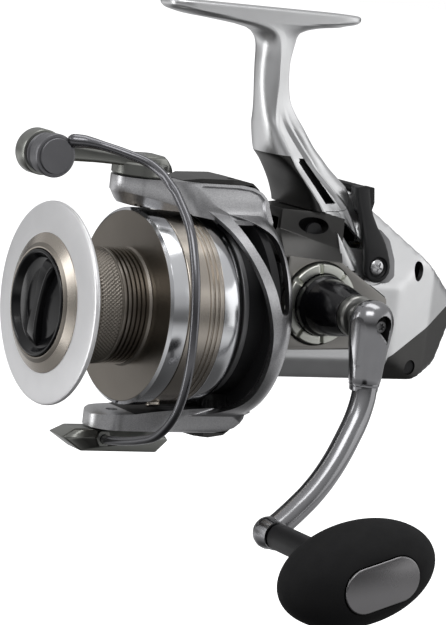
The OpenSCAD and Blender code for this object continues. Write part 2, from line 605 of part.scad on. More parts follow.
// centre line of the arm, [forward, outward from the head, up]
arm_path = [[0, 0, -15], [-0.3, 0.2, -20], [0.4, 1, -26.5], [2.9, 2.3, -33.4], [7.1, 4.2, -40.2], [11.6, 5.9, -46.8],
  [16.7, 7.4, -53.1], [22.1, 8.5, -58.7], [27.7, 9.2, -63.6], [33, 9.8, -67.8], [pin_forward, 10, -pin_down]];
module crank_arm() color("#55565a") at_crank() difference() {
  union() {
    hull() {
      translate([0, arm_y - 0.4, 2]) rotate([90, 0, 0]) cylinder(h = 12.8, r = 6.9, center = true, $fn = 32);
      translate([-0.3, arm_y, -24]) cylinder(h = 2, r = 5.3, $fn = 32);
    }
    translate([0, arm_y, 0]) bar_along(spline(arm_path, 2), 4.3, 16);
    translate([pin_forward, ball_y, -pin_down]) rotate([-90, 0, 0]) rotate_extrude()
      polygon([[0, -5.6], [2.5, -5], [4.4, -3.5], [5.4, -1.5], [5.6, 0], [5.4, 1.5], [4.4, 3.5], [2.9, 4.9], [0, 4.9]]);
  }
  tube_y(arm_y - 8, arm_y - 5.5, drive_r + thin);
  translate([pin_forward, 0, -pin_down]) tube_y(ball_y - 3, ball_y + 10, 2.5 + thin);
  translate([-4.6, arm_y + 3.2, -2]) rotate([0, 0, 28]) tube_y(-1, 8, 2.8);
}
module lock_screw() color("#202020") at_crank() translate([-4.6, arm_y + 3.2, -2]) rotate([0, 0, 28])
  tube_y(-0.95, 0.8, 2.78);
module knob_pin() color("silver") at_pin() {
  tube_y(ball_y - 2.95, 129, 2.5);
  tube_y(128.9, 130.4, 3.6);
}
module knob() color("#18181a") at_pin() difference() {
  translate([0, knob_y, 0]) rotate([0, knob_tilt, 0]) resize([knob_len, 35, knob_thick]) sphere(r = 20, $fn = 40);
  tube_y(90, 127, 4.6);
  tube_y(126, 132, 4.2);
  rotate([0, knob_tilt, 0]) slab_y(135.6, 145, stadium(28.8, 15.7, 16));
}
function stadium(l, w, n) = concat(
  [for (i = [0:n]) [l / 2 - w / 2 + w / 2 * cos(-90 + i * 180 / n), w / 2 * sin(-90 + i * 180 / n)]],
  [for (i = [0:n]) [-l / 2 + w / 2 + w / 2 * cos(90 + i * 180 / n), w / 2 * sin(90 + i * 180 / n)]]);
module knob_sleeve() color("#151515") at_pin() tube_y(74, 126.9, 4.6 - thin, 2.5 + gap);
module knob_plate() color("dimgray") at_pin() rotate([0, knob_tilt, 0])
  slab_y(135.6 + thin, 137.2, stadium(28, 15, 16));

body();
side_cover();
front_panel();
side_plate();
rear_cap();
handle_cap();
right_cap();
left_bearing();
right_bearing();
pinion_bearing();
roller_clutch();
guide_rod();
osc_axle();
feeder_housing();
feeder_washers();
lever_boss();
cover_screws();
trim_screws();
feeder_lever();
lever_shaft();
lever_screws();
rotor();
inner_cup();
rotor_nut();
clutch_sleeve();
pinion();
upper_arm_cover();
lower_arm_cover();
bail_spring();
arm_screws();
bail_lever();
bail_wire();
wire_boss();
lower_bail_arm();
bail_pivot_screws();
roller_pin();
line_roller();
main_shaft();
slider();
spool_seat();
spool();
spool_lip();
line_clip();
drag_discs();
drag_felts();
drag_knob();
drag_spring();
osc_gear();
drive_gear();
drive_shaft();
crank_sleeve();
crank_collar();
crank_arm();
lock_screw();
knob_pin();
knob();
knob_sleeve();
knob_plate();
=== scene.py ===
"""Studio view of a large spinning reel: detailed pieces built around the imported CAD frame.

Lengths are in millimetres in the axis frame, until the meshes are made: its origin is the middle of the
spool's front rim, +X points forward along the main shaft, +Y to the handle side and +Z up to the foot.
"""

import json
import math

import bmesh
import bpy
from mathutils import Matrix, Vector

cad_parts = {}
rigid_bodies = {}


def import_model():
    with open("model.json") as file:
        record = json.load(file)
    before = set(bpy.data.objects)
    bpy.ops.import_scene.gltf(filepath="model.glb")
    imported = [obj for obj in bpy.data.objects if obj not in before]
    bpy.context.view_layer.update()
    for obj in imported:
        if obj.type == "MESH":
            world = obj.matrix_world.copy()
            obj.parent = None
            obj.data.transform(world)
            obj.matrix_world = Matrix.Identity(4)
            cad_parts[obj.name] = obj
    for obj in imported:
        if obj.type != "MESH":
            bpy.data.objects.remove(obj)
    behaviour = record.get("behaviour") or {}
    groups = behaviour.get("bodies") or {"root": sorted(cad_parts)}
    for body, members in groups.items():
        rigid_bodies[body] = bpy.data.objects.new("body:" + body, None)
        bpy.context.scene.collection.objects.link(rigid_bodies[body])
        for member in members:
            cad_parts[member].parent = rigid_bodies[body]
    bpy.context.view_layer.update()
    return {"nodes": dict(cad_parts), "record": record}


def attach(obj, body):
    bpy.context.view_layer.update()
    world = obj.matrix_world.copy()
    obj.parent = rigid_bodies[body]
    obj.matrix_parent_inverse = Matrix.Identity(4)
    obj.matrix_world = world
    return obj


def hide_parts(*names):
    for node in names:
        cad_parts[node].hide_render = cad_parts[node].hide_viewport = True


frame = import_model()

# the axis frame's origin in the row frame
NOSE_X = 72.0
AXIS_Z = -107.2
# axes that the pieces share: bail pivots, line roller, crank, feeder lever and the knob's pin
PIVOT_X = -30.0
ROLLER = Vector((7.5, 0.0, 51.3))
CRANK = Vector((-94.4, 0.0, 7.0))
LEVER = Vector((-118.0, 0.0, 20.6))
PIN = Vector((-56.8, 0.0, -64.2))


scene_objects = bpy.context.scene.collection.objects


# ---- small tools
def row(p):
    """A point of the axis frame, in the row frame and in metres."""
    return Vector(((p[0] + NOSE_X) / 1000, p[1] / 1000, (p[2] + AXIS_Z) / 1000))


def lerp(a, b, t):
    """The value at a share t of the way from a to b."""
    return a + (b - a) * t


def table(keys, x):
    """Smooth interpolation of [(x, value or tuple), ...]."""
    keys = sorted(keys, key=lambda k: k[0])
    if x <= keys[0][0]:
        return keys[0][1]
    if x >= keys[-1][0]:
        return keys[-1][1]
    i = max(j for j in range(len(keys) - 1) if keys[j][0] <= x)
    x0, v0 = keys[i]
    x1 = keys[i + 1][0]
    t = (x - x0) / (x1 - x0)

    def one(k):
        def at(j):
            v = keys[j][1]
            return v[k] if isinstance(v, tuple) else v

        def slope(j):
            if j == 0 or j == len(keys) - 1:
                a, b = (0, 1) if j == 0 else (len(keys) - 2, len(keys) - 1)
                return (at(b) - at(a)) / (keys[b][0] - keys[a][0])
            return (at(j + 1) - at(j - 1)) / (keys[j + 1][0] - keys[j - 1][0])

        h = x1 - x0
        a, b = at(i), at(i + 1)
        m0, m1 = slope(i) * h, slope(i + 1) * h
        return (
            (2 * t**3 - 3 * t**2 + 1) * a
            + (t**3 - 2 * t**2 + t) * m0
            + (-2 * t**3 + 3 * t**2) * b
            + (t**3 - t**2) * m1
        )

    if isinstance(v0, tuple):
        return tuple(one(k) for k in range(len(v0)))
    return one(0)


def spline(points, steps):
    """Catmull-Rom line through the points."""
    p = [Vector(q) for q in points]
    line = []
    for i in range(len(p) - 1):
        a, b, c, d = p[max(i - 1, 0)], p[i], p[i + 1], p[min(i + 2, len(p) - 1)]
        for k in range(steps):
            t = k / steps
            square = 2 * a - 5 * b + 4 * c - d
            cube = 3 * b - a - 3 * c + d
            line.append(0.5 * (2 * b + (c - a) * t + square * t**2 + cube * t**3))
    return line + [p[-1]]


def even(line, step):
    """The same line with points at an even spacing."""
    out, left = [line[0]], step
    for a, b in zip(line, line[1:]):
        length = (b - a).length
        at = left
        while at <= length:
            out.append(a.lerp(b, at / length))
            at += step
        left = at - length
    return out + [line[-1]]


def make(name, verts, faces, body, material, replaces=(), smooth=30):
    """A mesh piece from axis-frame points."""
    mesh = bpy.data.meshes.new(name)
    mesh.from_pydata([row(v) for v in verts], [], faces)
    mesh.validate()
    obj = bpy.data.objects.new(name, mesh)
    scene_objects.link(obj)
    return dress(obj, body, material, replaces, smooth)


def weld(mesh):
    """Joins doubled points and turns the faces outwards."""
    bm = bmesh.new()
    bm.from_mesh(mesh)
    bmesh.ops.remove_doubles(bm, verts=bm.verts, dist=1e-7)
    bmesh.ops.recalc_face_normals(bm, faces=bm.faces)
    bm.to_mesh(mesh)
    bm.free()


def dress(obj, body, material, replaces=(), smooth=30):
    """Normals, smooth shading, material, body and what the piece stands for."""
    weld(obj.data)
    obj.data.materials.clear()
    obj.data.materials.append(material)
    shade(obj, smooth)
    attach(obj, body)
    if replaces:
        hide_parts(*replaces)
    return obj


def finish(obj, name, body, look, replaces, smooth):
    """Names and dresses a piece made from raw solids."""
    obj.name = name
    return dress(obj, body, M[look], replaces, smooth)


def shade(obj, angle):
    """Smooth shading, with edges sharper than the angle kept sharp."""
    for p in obj.data.polygons:
        p.use_smooth = True
    bm = bmesh.new()
    bm.from_mesh(obj.data)
    limit = math.radians(angle)
    for e in bm.edges:
        e.smooth = not (len(e.link_faces) == 2 and e.calc_face_angle(0) > limit)
    bm.to_mesh(obj.data)
    bm.free()


def bake(obj):
    """Applies the modifiers to the mesh."""
    dg = bpy.context.evaluated_depsgraph_get()
    mesh = bpy.data.meshes.new_from_object(obj.evaluated_get(dg))
    obj.modifiers.clear()
    old = obj.data
    obj.data = mesh
    bpy.data.meshes.remove(old)
    return obj


def bevel(obj, width, segments=3, angle=30):
    """Rounds the edges that are sharper than the angle."""
    m = obj.modifiers.new("edge", "BEVEL")
    m.width = width / 1000
    m.segments = segments
    m.limit_method = "ANGLE"
    m.angle_limit = math.radians(angle)
    m.harden_normals = False
    m.use_clamp_overlap = True
    return bake(obj)


def raw(verts, faces):
    """A bare mesh object, used as a stock or a cutter."""
    mesh = bpy.data.meshes.new("raw")
    mesh.from_pydata([row(v) for v in verts], [], faces)
    obj = bpy.data.objects.new("raw", mesh)
    scene_objects.link(obj)
    weld(mesh)
    return obj


def twin(obj):
    """A second object with the same mesh."""
    other = obj.copy()
    other.data = obj.data.copy()
    scene_objects.link(other)
    return other


def cut(obj, *cutters, how="DIFFERENCE"):
    """Boolean of the object with each cutter in turn; the cutters are used up."""
    for c in cutters:
        m = obj.modifiers.new("cut", "BOOLEAN")
        m.operation = how
        m.solver = "EXACT"
        m.object = c
        bake(obj)
    for c in cutters:
        bpy.data.objects.remove(c)
    return obj


def prism(points, low, high, plane="xz"):
    """Extruded outline. xz runs along Y, yz along X and xy along Z."""
    n = len(points)

    def lay(a, b, c):
        if plane == "xz":
            return a, c, b
        return (c, a, b) if plane == "yz" else (a, b, c)

    verts = [lay(a, b, low) for a, b in points] + [lay(a, b, high) for a, b in points]
    faces = [list(range(n))[::-1], list(range(n, 2 * n))]
    faces += [[i, (i + 1) % n, n + (i + 1) % n, n + i] for i in range(n)]
    return verts, faces


def rounded(points, r, steps=4):
    """An outline with its corners rounded; r is one radius or one for each corner."""
    out = []
    n = len(points)
    for i in range(n):
        p = Vector(points[i]).to_2d()
        a = Vector(points[i - 1]).to_2d()
        b = Vector(points[(i + 1) % n]).to_2d()
        radius = r[i] if isinstance(r, (list, tuple)) else r
        u, v = (a - p), (b - p)
        lu, lv = u.length, v.length
        if radius <= 0 or lu < 1e-9 or lv < 1e-9:
            out.append(tuple(p))
            continue
        u /= lu
        v /= lv
        half = math.acos(max(-1, min(1, u.dot(v)))) / 2
        if half > math.pi / 2 - 0.02:
            out.append(tuple(p))
            continue
        d = min(radius / math.tan(half), 0.48 * lu, 0.48 * lv)
        s, e = p + u * d, p + v * d
        for k in range(steps + 1):
            t = k / steps
            q = s * (1 - t) ** 2 + p * 2 * t * (1 - t) + e * t**2
            out.append(tuple(q))
    return out


def ring_faces(rings, n, closed=False):
    """Quads between rings of n points each."""
    faces = []
    for i in range(rings if closed else rings - 1):
        j = (i + 1) % rings
        for k in range(n):
            m = (k + 1) % n
            faces.append([i * n + k, i * n + m, j * n + m, j * n + k])
    return faces


def turned(profile, origin=(0, 0, 0), axis="x", sides=128):
    """Turned form. profile is [(radius, distance)]; x measures backwards (-X), y and z forwards."""
    o = Vector(origin)
    verts = []
    for r, d in profile:
        for k in range(sides):
            a = 2 * math.pi * k / sides
            c, s = r * math.cos(a), r * math.sin(a)
            if axis == "x":
                verts.append(o + Vector((-d, c, s)))
            elif axis == "y":
                verts.append(o + Vector((s, d, c)))
            else:
                verts.append(o + Vector((c, s, d)))
    return verts, ring_faces(len(profile), sides, True)


def soften(profile, r=0.3, steps=3):
    """Rounds the corners of a turned profile."""
    out = []
    n = len(profile)
    for i in range(n):
        p = Vector(profile[i])
        a, b = Vector(profile[i - 1]), Vector(profile[(i + 1) % n])
        u, v = a - p, b - p
        if min(u.length, v.length) < 1e-6:
            continue
        cosine = max(-1, min(1, u.normalized().dot(v.normalized())))
        if cosine < -0.97:
            out.append(tuple(p))
            continue
        d = min(r, 0.4 * u.length, 0.4 * v.length)
        s, e = p + u.normalized() * d, p + v.normalized() * d
        for k in range(steps + 1):
            t = k / steps
            out.append(tuple(s * (1 - t) ** 2 + p * 2 * t * (1 - t) + e * t**2))
    return out


def loft(rings):
    """Skin over closed rings of equal length."""
    n = len(rings[0])
    verts = [v for r in rings for v in r]
    faces = ring_faces(len(rings), n)
    faces.append(list(range(n))[::-1])
    faces.append([(len(rings) - 1) * n + k for k in range(n)])
    return verts, faces


def sweep(line, radius, sides=24):
    """Round bar along a line; radius is a number or one for each point."""
    rings = []
    n = len(line)
    up = None
    for i, p in enumerate(line):
        d = (line[min(i + 1, n - 1)] - line[max(i - 1, 0)]).normalized()
        if up is None:
            up = d.orthogonal().normalized()
        up = (up - d * up.dot(d)).normalized()
        w = d.cross(up)
        r = radius[i] if isinstance(radius, (list, tuple)) else radius
        ring = []
        for k in range(sides):
            a = 2 * math.pi * k / sides
            ring.append(p + r * (math.cos(a) * up + math.sin(a) * w))
        rings.append(ring)
    return loft(rings)


def slab(points, low, high, plane="xz"):
    """An extruded outline as a stock or a cutter."""
    return raw(*prism(points, low, high, plane))


def skin(rings):
    """A loft as a stock or a cutter."""
    return raw(*loft(rings))


def lathe(profile, origin=(0, 0, 0), axis="x", sides=128):
    """A turned form as a stock or a cutter."""
    return raw(*turned(profile, origin, axis, sides))


def spun(name, profile, body, look, replaces=(), origin=(0, 0, 0), axis="x", sides=192, smooth=25):
    """A finished piece that is one turned form."""
    verts, faces = turned(profile, origin, axis, sides)
    return make(name, verts, faces, body, M[look], replaces, smooth)


def plug(low, high, r):
    """Profile of a plain cylinder."""
    return [(0, low), (r, low), (r, high), (0, high)]


def oval(x, z, rx, rz, steps):
    """Outline of an ellipse."""
    angles = [2 * math.pi * t / steps for t in range(steps)]
    return [(x + rx * math.cos(a), z + rz * math.sin(a)) for a in angles]


def placed(line, where):
    """Outline in x and z, moved to a point."""
    return [(where.x + x, where.z + z) for x, z in line]


def flank(line, a, b, side):
    """Extruded outline between two distances from the middle plane, on one side."""
    return slab(line, *sorted((a * side, b * side)))


def flipped(mesh, side, axis):
    """A turned form as it is, or mirrored along one axis when side is -1."""
    verts, faces = mesh
    turn = [1, 1, 1]
    turn[axis] = side
    return raw([(v[0] * turn[0], v[1] * turn[1], v[2] * turn[2]) for v in verts], faces)


BLOCK = [[0, 1, 2, 3], [4, 5, 6, 7], [0, 1, 5, 4], [1, 2, 6, 5], [2, 3, 7, 6], [3, 0, 4, 7]]


def block(ring, low, high):
    """Four-sided block along Y over a ring of points."""
    return raw([v + Vector((0, y, 0)) for y in (low, high) for v in ring], BLOCK)


# ---- materials
def add_node(tree, kind, feeds=(), values=(), **settings):
    """A shader node with its settings, its fixed inputs and what feeds the others."""
    n = tree.nodes.new("ShaderNode" + kind)
    for key, value in settings.items():
        setattr(n, key, value)
    for key, value in dict(values).items():
        n.inputs[key].default_value = value
    for key, source in dict(feeds).items():
        tree.links.new(source, n.inputs[key])
    return n


def surface(
    name,
    color,
    slot,
    metal=1.0,
    rough=0.3,
    grain=0.0,
    grain_size=0.35,
    wear=0.02,
    flakes=0.0,
    coat=0.0,
    aniso=0.0,
    turned_about=None,
    lines=0.0,
    line_size=0.25,
    spec=0.5,
):
    """Procedural finish: slow variation, fine grain, paint flakes and turning marks; sizes in millimetres."""
    mat = bpy.data.materials.new(name)
    mat.use_nodes = True
    mat["slot"] = slot
    tree = mat.node_tree
    shader = tree.nodes["Principled BSDF"].inputs
    shader["Metallic"].default_value = metal
    shader["Specular IOR Level"].default_value = spec
    if coat:
        shader["Coat Weight"].default_value = coat
        shader["Coat Roughness"].default_value = 0.06
    where = add_node(tree, "TexCoord").outputs["Object"]

    def noise(size, detail):
        values = {"Scale": 1000.0 / size, "Detail": detail}
        return add_node(tree, "TexNoise", {"Vector": where}, values).outputs["Fac"]

    def maths(kind, first, second=None):
        feeds = {0: first, 1: second} if second else {0: first}
        return add_node(tree, "Math", feeds, operation=kind).outputs[0]

    def spread(source, low, high):
        values = {"From Min": 0.3, "From Max": 0.7, "To Min": low, "To Max": high}
        return add_node(tree, "MapRange", {"Value": source}, values).outputs["Result"]

    # colour and roughness drift slowly over the piece
    drift = 0.02
    dark = (*[c * (1 - drift) for c in color], 1)
    light = (*[min(1, c * (1 + drift)) for c in color], 1)
    share = spread(noise(9.0, 3.0), 0, 1)
    base = add_node(
        tree, "Mix", {"Factor": share}, {"A": dark, "B": light}, data_type="RGBA",
    ).outputs["Result"]
    feeds = {"Roughness": spread(noise(5.0, 4.0), max(0.02, rough - wear), rough + wear)}
    height = noise(grain_size, 2.0) if grain else None
    if lines:
        # fine concentric marks: the distance from an axis drives a noise
        point, across = turned_about
        shift = add_node(tree, "VectorMath", {0: where}, {1: row(point)}, operation="SUBTRACT")
        split = add_node(tree, "SeparateXYZ", {"Vector": shift.outputs["Vector"]})
        first, second = (split.outputs[a] for a in across)
        squares = maths("ADD", maths("MULTIPLY", first, first), maths("MULTIPLY", second, second))
        values = {"Scale": 1000.0 / line_size, "Detail": 2.0}
        marks = add_node(
            tree, "TexNoise", {"W": maths("SQRT", squares)}, values, noise_dimensions="1D",
        ).outputs["Fac"]
        height = marks if height is None else maths("ADD", height, marks)
        grain = max(grain, lines)
    if flakes:
        flake_size = 0.22
        cells = add_node(tree, "TexVoronoi", {"Vector": where}, {"Scale": 1000.0 / flake_size})
        tone = add_node(tree, "SeparateColor", {"Color": cells.outputs["Color"]}).outputs[0]
        grey = add_node(tree, "CombineColor", {0: tone, 1: tone, 2: tone}).outputs["Color"]
        ends = {"A": base, "B": grey}
        base = add_node(
            tree, "Mix", ends, {"Factor": flakes}, data_type="RGBA", blend_type="OVERLAY"
        ).outputs["Result"]
    feeds["Base Color"] = base
    if height is not None:
        depth = 0.00005
        bump = add_node(tree, "Bump", {"Height": height}, {"Strength": grain, "Distance": depth})
        feeds["Normal"] = bump.outputs["Normal"]
    if aniso:
        shader["Anisotropic"].default_value = aniso
        feeds["Tangent"] = add_node(tree, "Tangent", direction_type="RADIAL", axis="X").outputs["Tangent"]
    for key, source in feeds.items():
        tree.links.new(source, shader[key])
    return mat


# marks left by turning about the shaft
SHAFT_MARKS = {"lines": 0.10, "line_size": 0.2, "turned_about": ((0, 0, 0), "YZ")}
# finish: name, colour and slot, and the settings that differ from the plain satin metal
LOOKS = {
    "silver": (
        "satin_silver", (0.74, 0.745, 0.75), "silver_satin", {"rough": 0.34, "grain": 0.2, "coat": 0.1},
    ),
    "rotor": (
        "rotor_paint",
        (0.56, 0.56, 0.57),
        "rotor_silver",
        {"rough": 0.31, "grain": 0.15, "flakes": 0.2, "coat": 0.25, "wear": 0.015},
    ),
    "gunmetal": (
        "gunmetal_paint", (0.075, 0.074, 0.072), "gunmetal", {"metal": 0.9, "rough": 0.36, "grain": 0.2},
    ),
    "grey": (
        "warm_grey_paint", (0.30, 0.29, 0.275), "warm_grey", {"metal": 0.9, "rough": 0.42, "grain": 0.25},
    ),
    "cap": ("cap_satin", (0.66, 0.67, 0.62), "cap_satin", {"rough": 0.36, "grain": 0.3}),
    "black_gloss": (
        "black_gloss",
        (0.004, 0.004, 0.005),
        "black_gloss",
        {"metal": 0.0, "rough": 0.16, "wear": 0.03, "spec": 0.45},
    ),
    "black_satin": (
        "black_satin",
        (0.010, 0.010, 0.011),
        "black_satin",
        {"metal": 0.0, "rough": 0.45, "grain": 0.4, "grain_size": 0.3, "spec": 0.35},
    ),
    "rubber": (
        "soft_rubber",
        (0.008, 0.008, 0.0085),
        "black_soft",
        {"metal": 0.0, "rough": 0.78, "grain": 0.8, "grain_size": 0.45, "wear": 0.05, "spec": 0.2},
    ),
    "smoke": (
        "smoke_chrome", (0.30, 0.30, 0.31), "smoke_chrome", {"rough": 0.20, "grain": 0.1, "coat": 0.2},
    ),
    "inlay": (
        "dark_chrome", (0.235, 0.23, 0.235), "smoke_chrome", {"rough": 0.27, "wear": 0.005, "coat": 0.1},
    ),
    "dark_metal": (
        "dark_satin_metal", (0.30, 0.30, 0.285), "dark_satin_metal", {"rough": 0.30, "grain": 0.25},
    ),
    "olive": (
        "olive_satin_metal",
        (0.29, 0.295, 0.275),
        "dark_satin_metal",
        {"rough": 0.3, "grain": 0.25, "coat": 0.1},
    ),
    "wire": ("wire_metal", (0.17, 0.17, 0.18), "dark_satin_metal", {"rough": 0.25, "wear": 0.01}),
    "boss": (
        "turned_dark_boss",
        (0.20, 0.20, 0.21),
        "dark_satin_metal",
        {"metal": 0.9, "rough": 0.42, "lines": 0.6, "line_size": 0.3, "turned_about": (tuple(ROLLER), "XZ")},
    ),
    "champagne": ("champagne_anodised", (0.52, 0.475, 0.42), "champagne", {"rough": 0.24, "wear": 0.01}),
    "bronze": (
        "bronze_anodised", (0.27, 0.245, 0.215), "champagne", {"rough": 0.30, "aniso": 0.55, **SHAFT_MARKS},
    ),
    "lip": (
        "turned_silver",
        (0.92, 0.92, 0.93),
        "polished",
        {"metal": 0.45, "rough": 0.30, "aniso": 0.6, **SHAFT_MARKS},
    ),
    "mirror": ("polished_band", (0.80, 0.81, 0.83), "polished", {"rough": 0.16}),
    "steel": ("ground_steel", (0.62, 0.62, 0.63), "steel", {"rough": 0.24, "grain": 0.3}),
    "brass": ("gear_brass", (0.62, 0.44, 0.18), "brass_gear", {"rough": 0.3, "grain": 0.2}),
    "felt": ("drag_felt", (0.30, 0.19, 0.10), "felt", {"metal": 0.0, "rough": 0.9, "grain": 1.0}),
    "cast": ("grey_cast", (0.20, 0.20, 0.205), "grey_cast", {"metal": 0.7, "rough": 0.4, "grain": 0.6}),
}
M = {key: surface(name, color, slot, **rest) for key, (name, color, slot, rest) in LOOKS.items()}
# the finish that each slot of the record gets
SLOT_LOOK = {
    "silver_satin": "silver",
    "rotor_silver": "rotor",
    "gunmetal": "gunmetal",
    "warm_grey": "grey",
    "cap_satin": "cap",
    "black_gloss": "black_gloss",
    "black_soft": "rubber",
    "black_satin": "black_satin",
    "smoke_chrome": "smoke",
    "dark_satin_metal": "dark_metal",
    "champagne": "champagne",
    "polished": "mirror",
    "steel": "steel",
    "brass_gear": "brass",
    "felt": "felt",
    "grey_cast": "cast",
}
for part in frame["record"]["subparts"]:
    obj = frame["nodes"][part["node"]]
    obj.data.materials.clear()
    obj.data.materials.append(M[SLOT_LOOK[part["material_slot"]]])
    for poly in obj.data.polygons:
        poly.use_smooth = False


# ---- spool
def spool_pieces():
    """Arbor with its knurl, lip, face ring, bright band and skirt."""
    # each profile is (radius, distance behind the front rim); the rear flange starts at flat
    flat = 29.4
    arbor = [
        (18.62, 5.0), (18.62, -3.9), (19.2, -4.1), (23.4, -1.9), (23.98, -1.4), (23.98, 2.6), (21.6, 3.4),
        (20.3, 4.6),
    ]
    arbor += [(20.3, 9.8), (19.9, 10.1), (19.9, 18.6), (20.3, 18.9)]
    for i in range(5):
        s = 19.6 + i * 1.75
        arbor += [(20.3, s), (19.55, s + 0.15), (19.55, s + 0.75), (20.3, s + 0.95)]
    arbor += [(20.3, 28.6), (20.9, flat)]
    arbor += [(24.0, flat), (30.0, flat), (32.9, flat), (33.2, flat + 0.15)]
    arbor += [(33.2, 33.0), (2.6, 33.0), (2.6, 21.0), (15.2, 21.0), (15.2, 5.0)]
    spun("spool_arbor", arbor, "spool", "bronze", ["spool"], sides=160)
    # diamond knurl: rows along the arbor, points and ridges round it, and the ridges' turns per millimetre
    rows_n, around, pitches, lead = 34, 480, 96, 0.62
    start, stop, valley, ridge, edge = 10.3, 18.4, 19.95, 0.42, 19.85
    verts = []
    for i in range(rows_n + 1):
        s = lerp(start, stop, i / rows_n)
        for k in range(around):
            a = 2 * math.pi * k / around
            turns = a * pitches / (2 * math.pi)
            groove = min(abs((turns + s * lead) % 1 - 0.5), abs((turns - s * lead) % 1 - 0.5)) * 2
            r = edge if i in (0, rows_n) else valley + ridge * min(1.0, groove * 1.6)
            verts.append((-s, r * math.cos(a), r * math.sin(a)))
    make("spool_knurl", verts, ring_faces(rows_n + 1, around), "spool", M["bronze"], smooth=60)
    # front lip
    lip = [
        (24.02, -1.5), (34.0, -0.35), (34.75, -0.1), (35.0, 0.45), (34.95, 1.1), (34.3, 1.7), (33.0, 2.2),
        (24.02, 2.5),
    ]
    spun("spool_lip_ring", soften(lip, 0.15), "spool", "lip", ["spool_lip"])
    ring = [
        (18.62, -3.4), (18.75, -4.05), (19.1, -4.1), (23.5, -1.95), (23.97, -1.7), (24.0, -1.4),
        (23.0, -1.2),
    ]
    spun("spool_face_ring", ring, "spool", "champagne", sides=160)
    # bright band, gap, skirt and polished end
    band = [
        (33.15, flat), (34.2, flat + 0.75), (34.3, flat + 1.0), (34.3, 35.9), (34.15, 36.1), (33.3, 36.1),
        (33.15, 35.0),
    ]
    spun("spool_band", band, "spool", "mirror")
    skirt = [(33.1, 36.0), (33.1, 36.7), (33.75, 36.8), (33.85, 37.0), (33.85, 44.4)]
    for s in (44.6, 46.4, 48.2):
        skirt += [(33.55, s), (33.55, s + 0.3), (33.9, s + 0.45), (33.9, s + 1.35)]
    skirt += [(33.6, 49.9), (33.6, 50.3), (31.8, 50.3), (31.8, 36.0)]
    spun("spool_skirt", skirt, "spool", "champagne")
    end = [
        (33.5, 50.3), (33.85, 50.5), (33.85, 53.5), (33.6, 55.5), (33.0, 57.4), (32.4, 58.25), (31.9, 58.4),
        (31.4, 58.2),
    ]
    end += [(31.4, 33.0), (31.9, 33.0), (31.9, 50.3)]
    spun("spool_skirt_end", end, "spool", "mirror", smooth=35)


spool_pieces()

# ---- foot, stem and shoulder
# height: nose x, crease x and y, rear corner x and y, rear x, sharpness of the nose
STEM = [
    (107.2, (-33.6, -41.5, 7.6, -103.0, 7.6, -110.6, 2.8)),
    (106.9, (-32.9, -40.7, 8.1, -103.8, 8.1, -111.3, 2.8)),
    (106.4, (-32.6, -40.7, 8.2, -104.0, 8.2, -111.6, 2.8)),
    (105.4, (-32.7, -40.8, 8.2, -104.0, 8.2, -111.5, 2.8)),
    (104.6, (-33.2, -43.0, 8.15, -102.0, 8.15, -110.9, 2.8)),
    (103.9, (-34.0, -52.0, 8.1, -96.0, 8.1, -109.6, 2.8)),
    (103.2, (-36.6, -61.0, 8.05, -88.5, 8.0, -106.5, 2.7)),
    (102.4, (-41.5, -66.5, 8.0, -84.8, 7.9, -103.0, 2.6)),
    (101.9, (-47.5, -69.3, 7.95, -83.6, 7.7, -97.5, 2.5)),
    (101.1, (-56.0, -71.6, 7.85, -82.8, 7.4, -92.5, 2.4)),
    (100.2, (-64.0, -73.1, 7.75, -82.7, 7.0, -88.6, 2.3)),
    (99.2, (-68.2, -74.4, 7.6, -82.9, 6.5, -86.2, 2.2)),
    (97.5, (-70.6, -75.8, 7.35, -83.2, 5.8, -84.9, 2.1)),
    (95.0, (-71.9, -76.7, 7.1, -83.3, 5.2, -84.4, 2.0)),
    (92.0, (-72.3, -77.3, 6.85, -83.1, 4.7, -83.9, 2.0)),
    (88.0, (-72.4, -77.7, 6.65, -82.9, 4.4, -83.7, 2.0)),
    (81.0, (-73.0, -78.3, 6.5, -83.7, 4.2, -84.4, 2.0)),
    (75.0, (-73.9, -78.3, 6.6, -85.2, 4.4, -85.8, 2.0)),
    (70.0, (-74.7, -78.1, 7.0, -88.2, 5.0, -89.0, 2.0)),
    (66.4, (-75.3, -78.4, 7.9, -90.9, 5.6, -91.8, 2.0)),
    (60.0, (-76.7, -81.8, 10.0, -95.7, 6.3, -96.5, 2.0)),
    (56.8, (-77.8, -83.8, 11.0, -98.8, 6.8, -99.6, 2.0)),
    (56.2, (-78.4, -84.2, 11.2, -99.4, 6.9, -100.2, 2.0)),
    (52.9, (-83.0, -86.2, 12.0, -102.7, 7.2, -103.6, 2.2)),
    (47.0, (-88.8, -90.8, 14.0, -109.9, 8.0, -110.8, 2.6)),
    (41.0, (-92.0, -95.3, 15.6, -117.0, 9.0, -118.0, 3.0)),
    (36.0, (-93.2, -98.6, 16.8, -120.0, 10.5, -122.0, 3.0)),
    (30.0, (-95.0, -102.8, 18.2, -122.0, 12.0, -126.0, 3.0)),
    (20.7, (-97.0, -109.1, 20.0, -124.0, 15.0, -130.0, 3.0)),
    (17.0, (-98.0, -111.6, 20.2, -126.0, 15.0, -132.0, 3.0)),
]
# height: rear ridge x and y, depth of the floor between the ridges
FLOOR = [
    (108.0, (0.5, 0.0, 0.0)),
    (76.0, (0.5, 0.0, 0.0)),
    (72.0, (0.56, 0.0, 0.2)),
    (68.0, (0.60, 0.05, 0.5)),
    (64.6, (0.62, 0.1, 0.9)),
    (60.0, (0.64, 0.3, 1.1)),
    (51.0, (0.60, 0.4, 1.3)),
    (41.8, (0.60, 0.6, 1.4)),
    (33.0, (0.58, 0.8, 1.4)),
    (27.0, (0.52, 0.6, 0.8)),
    (22.5, (0.46, 0.3, 0.2)),
    (17.0, (0.40, 0.0, 0.0)),
]


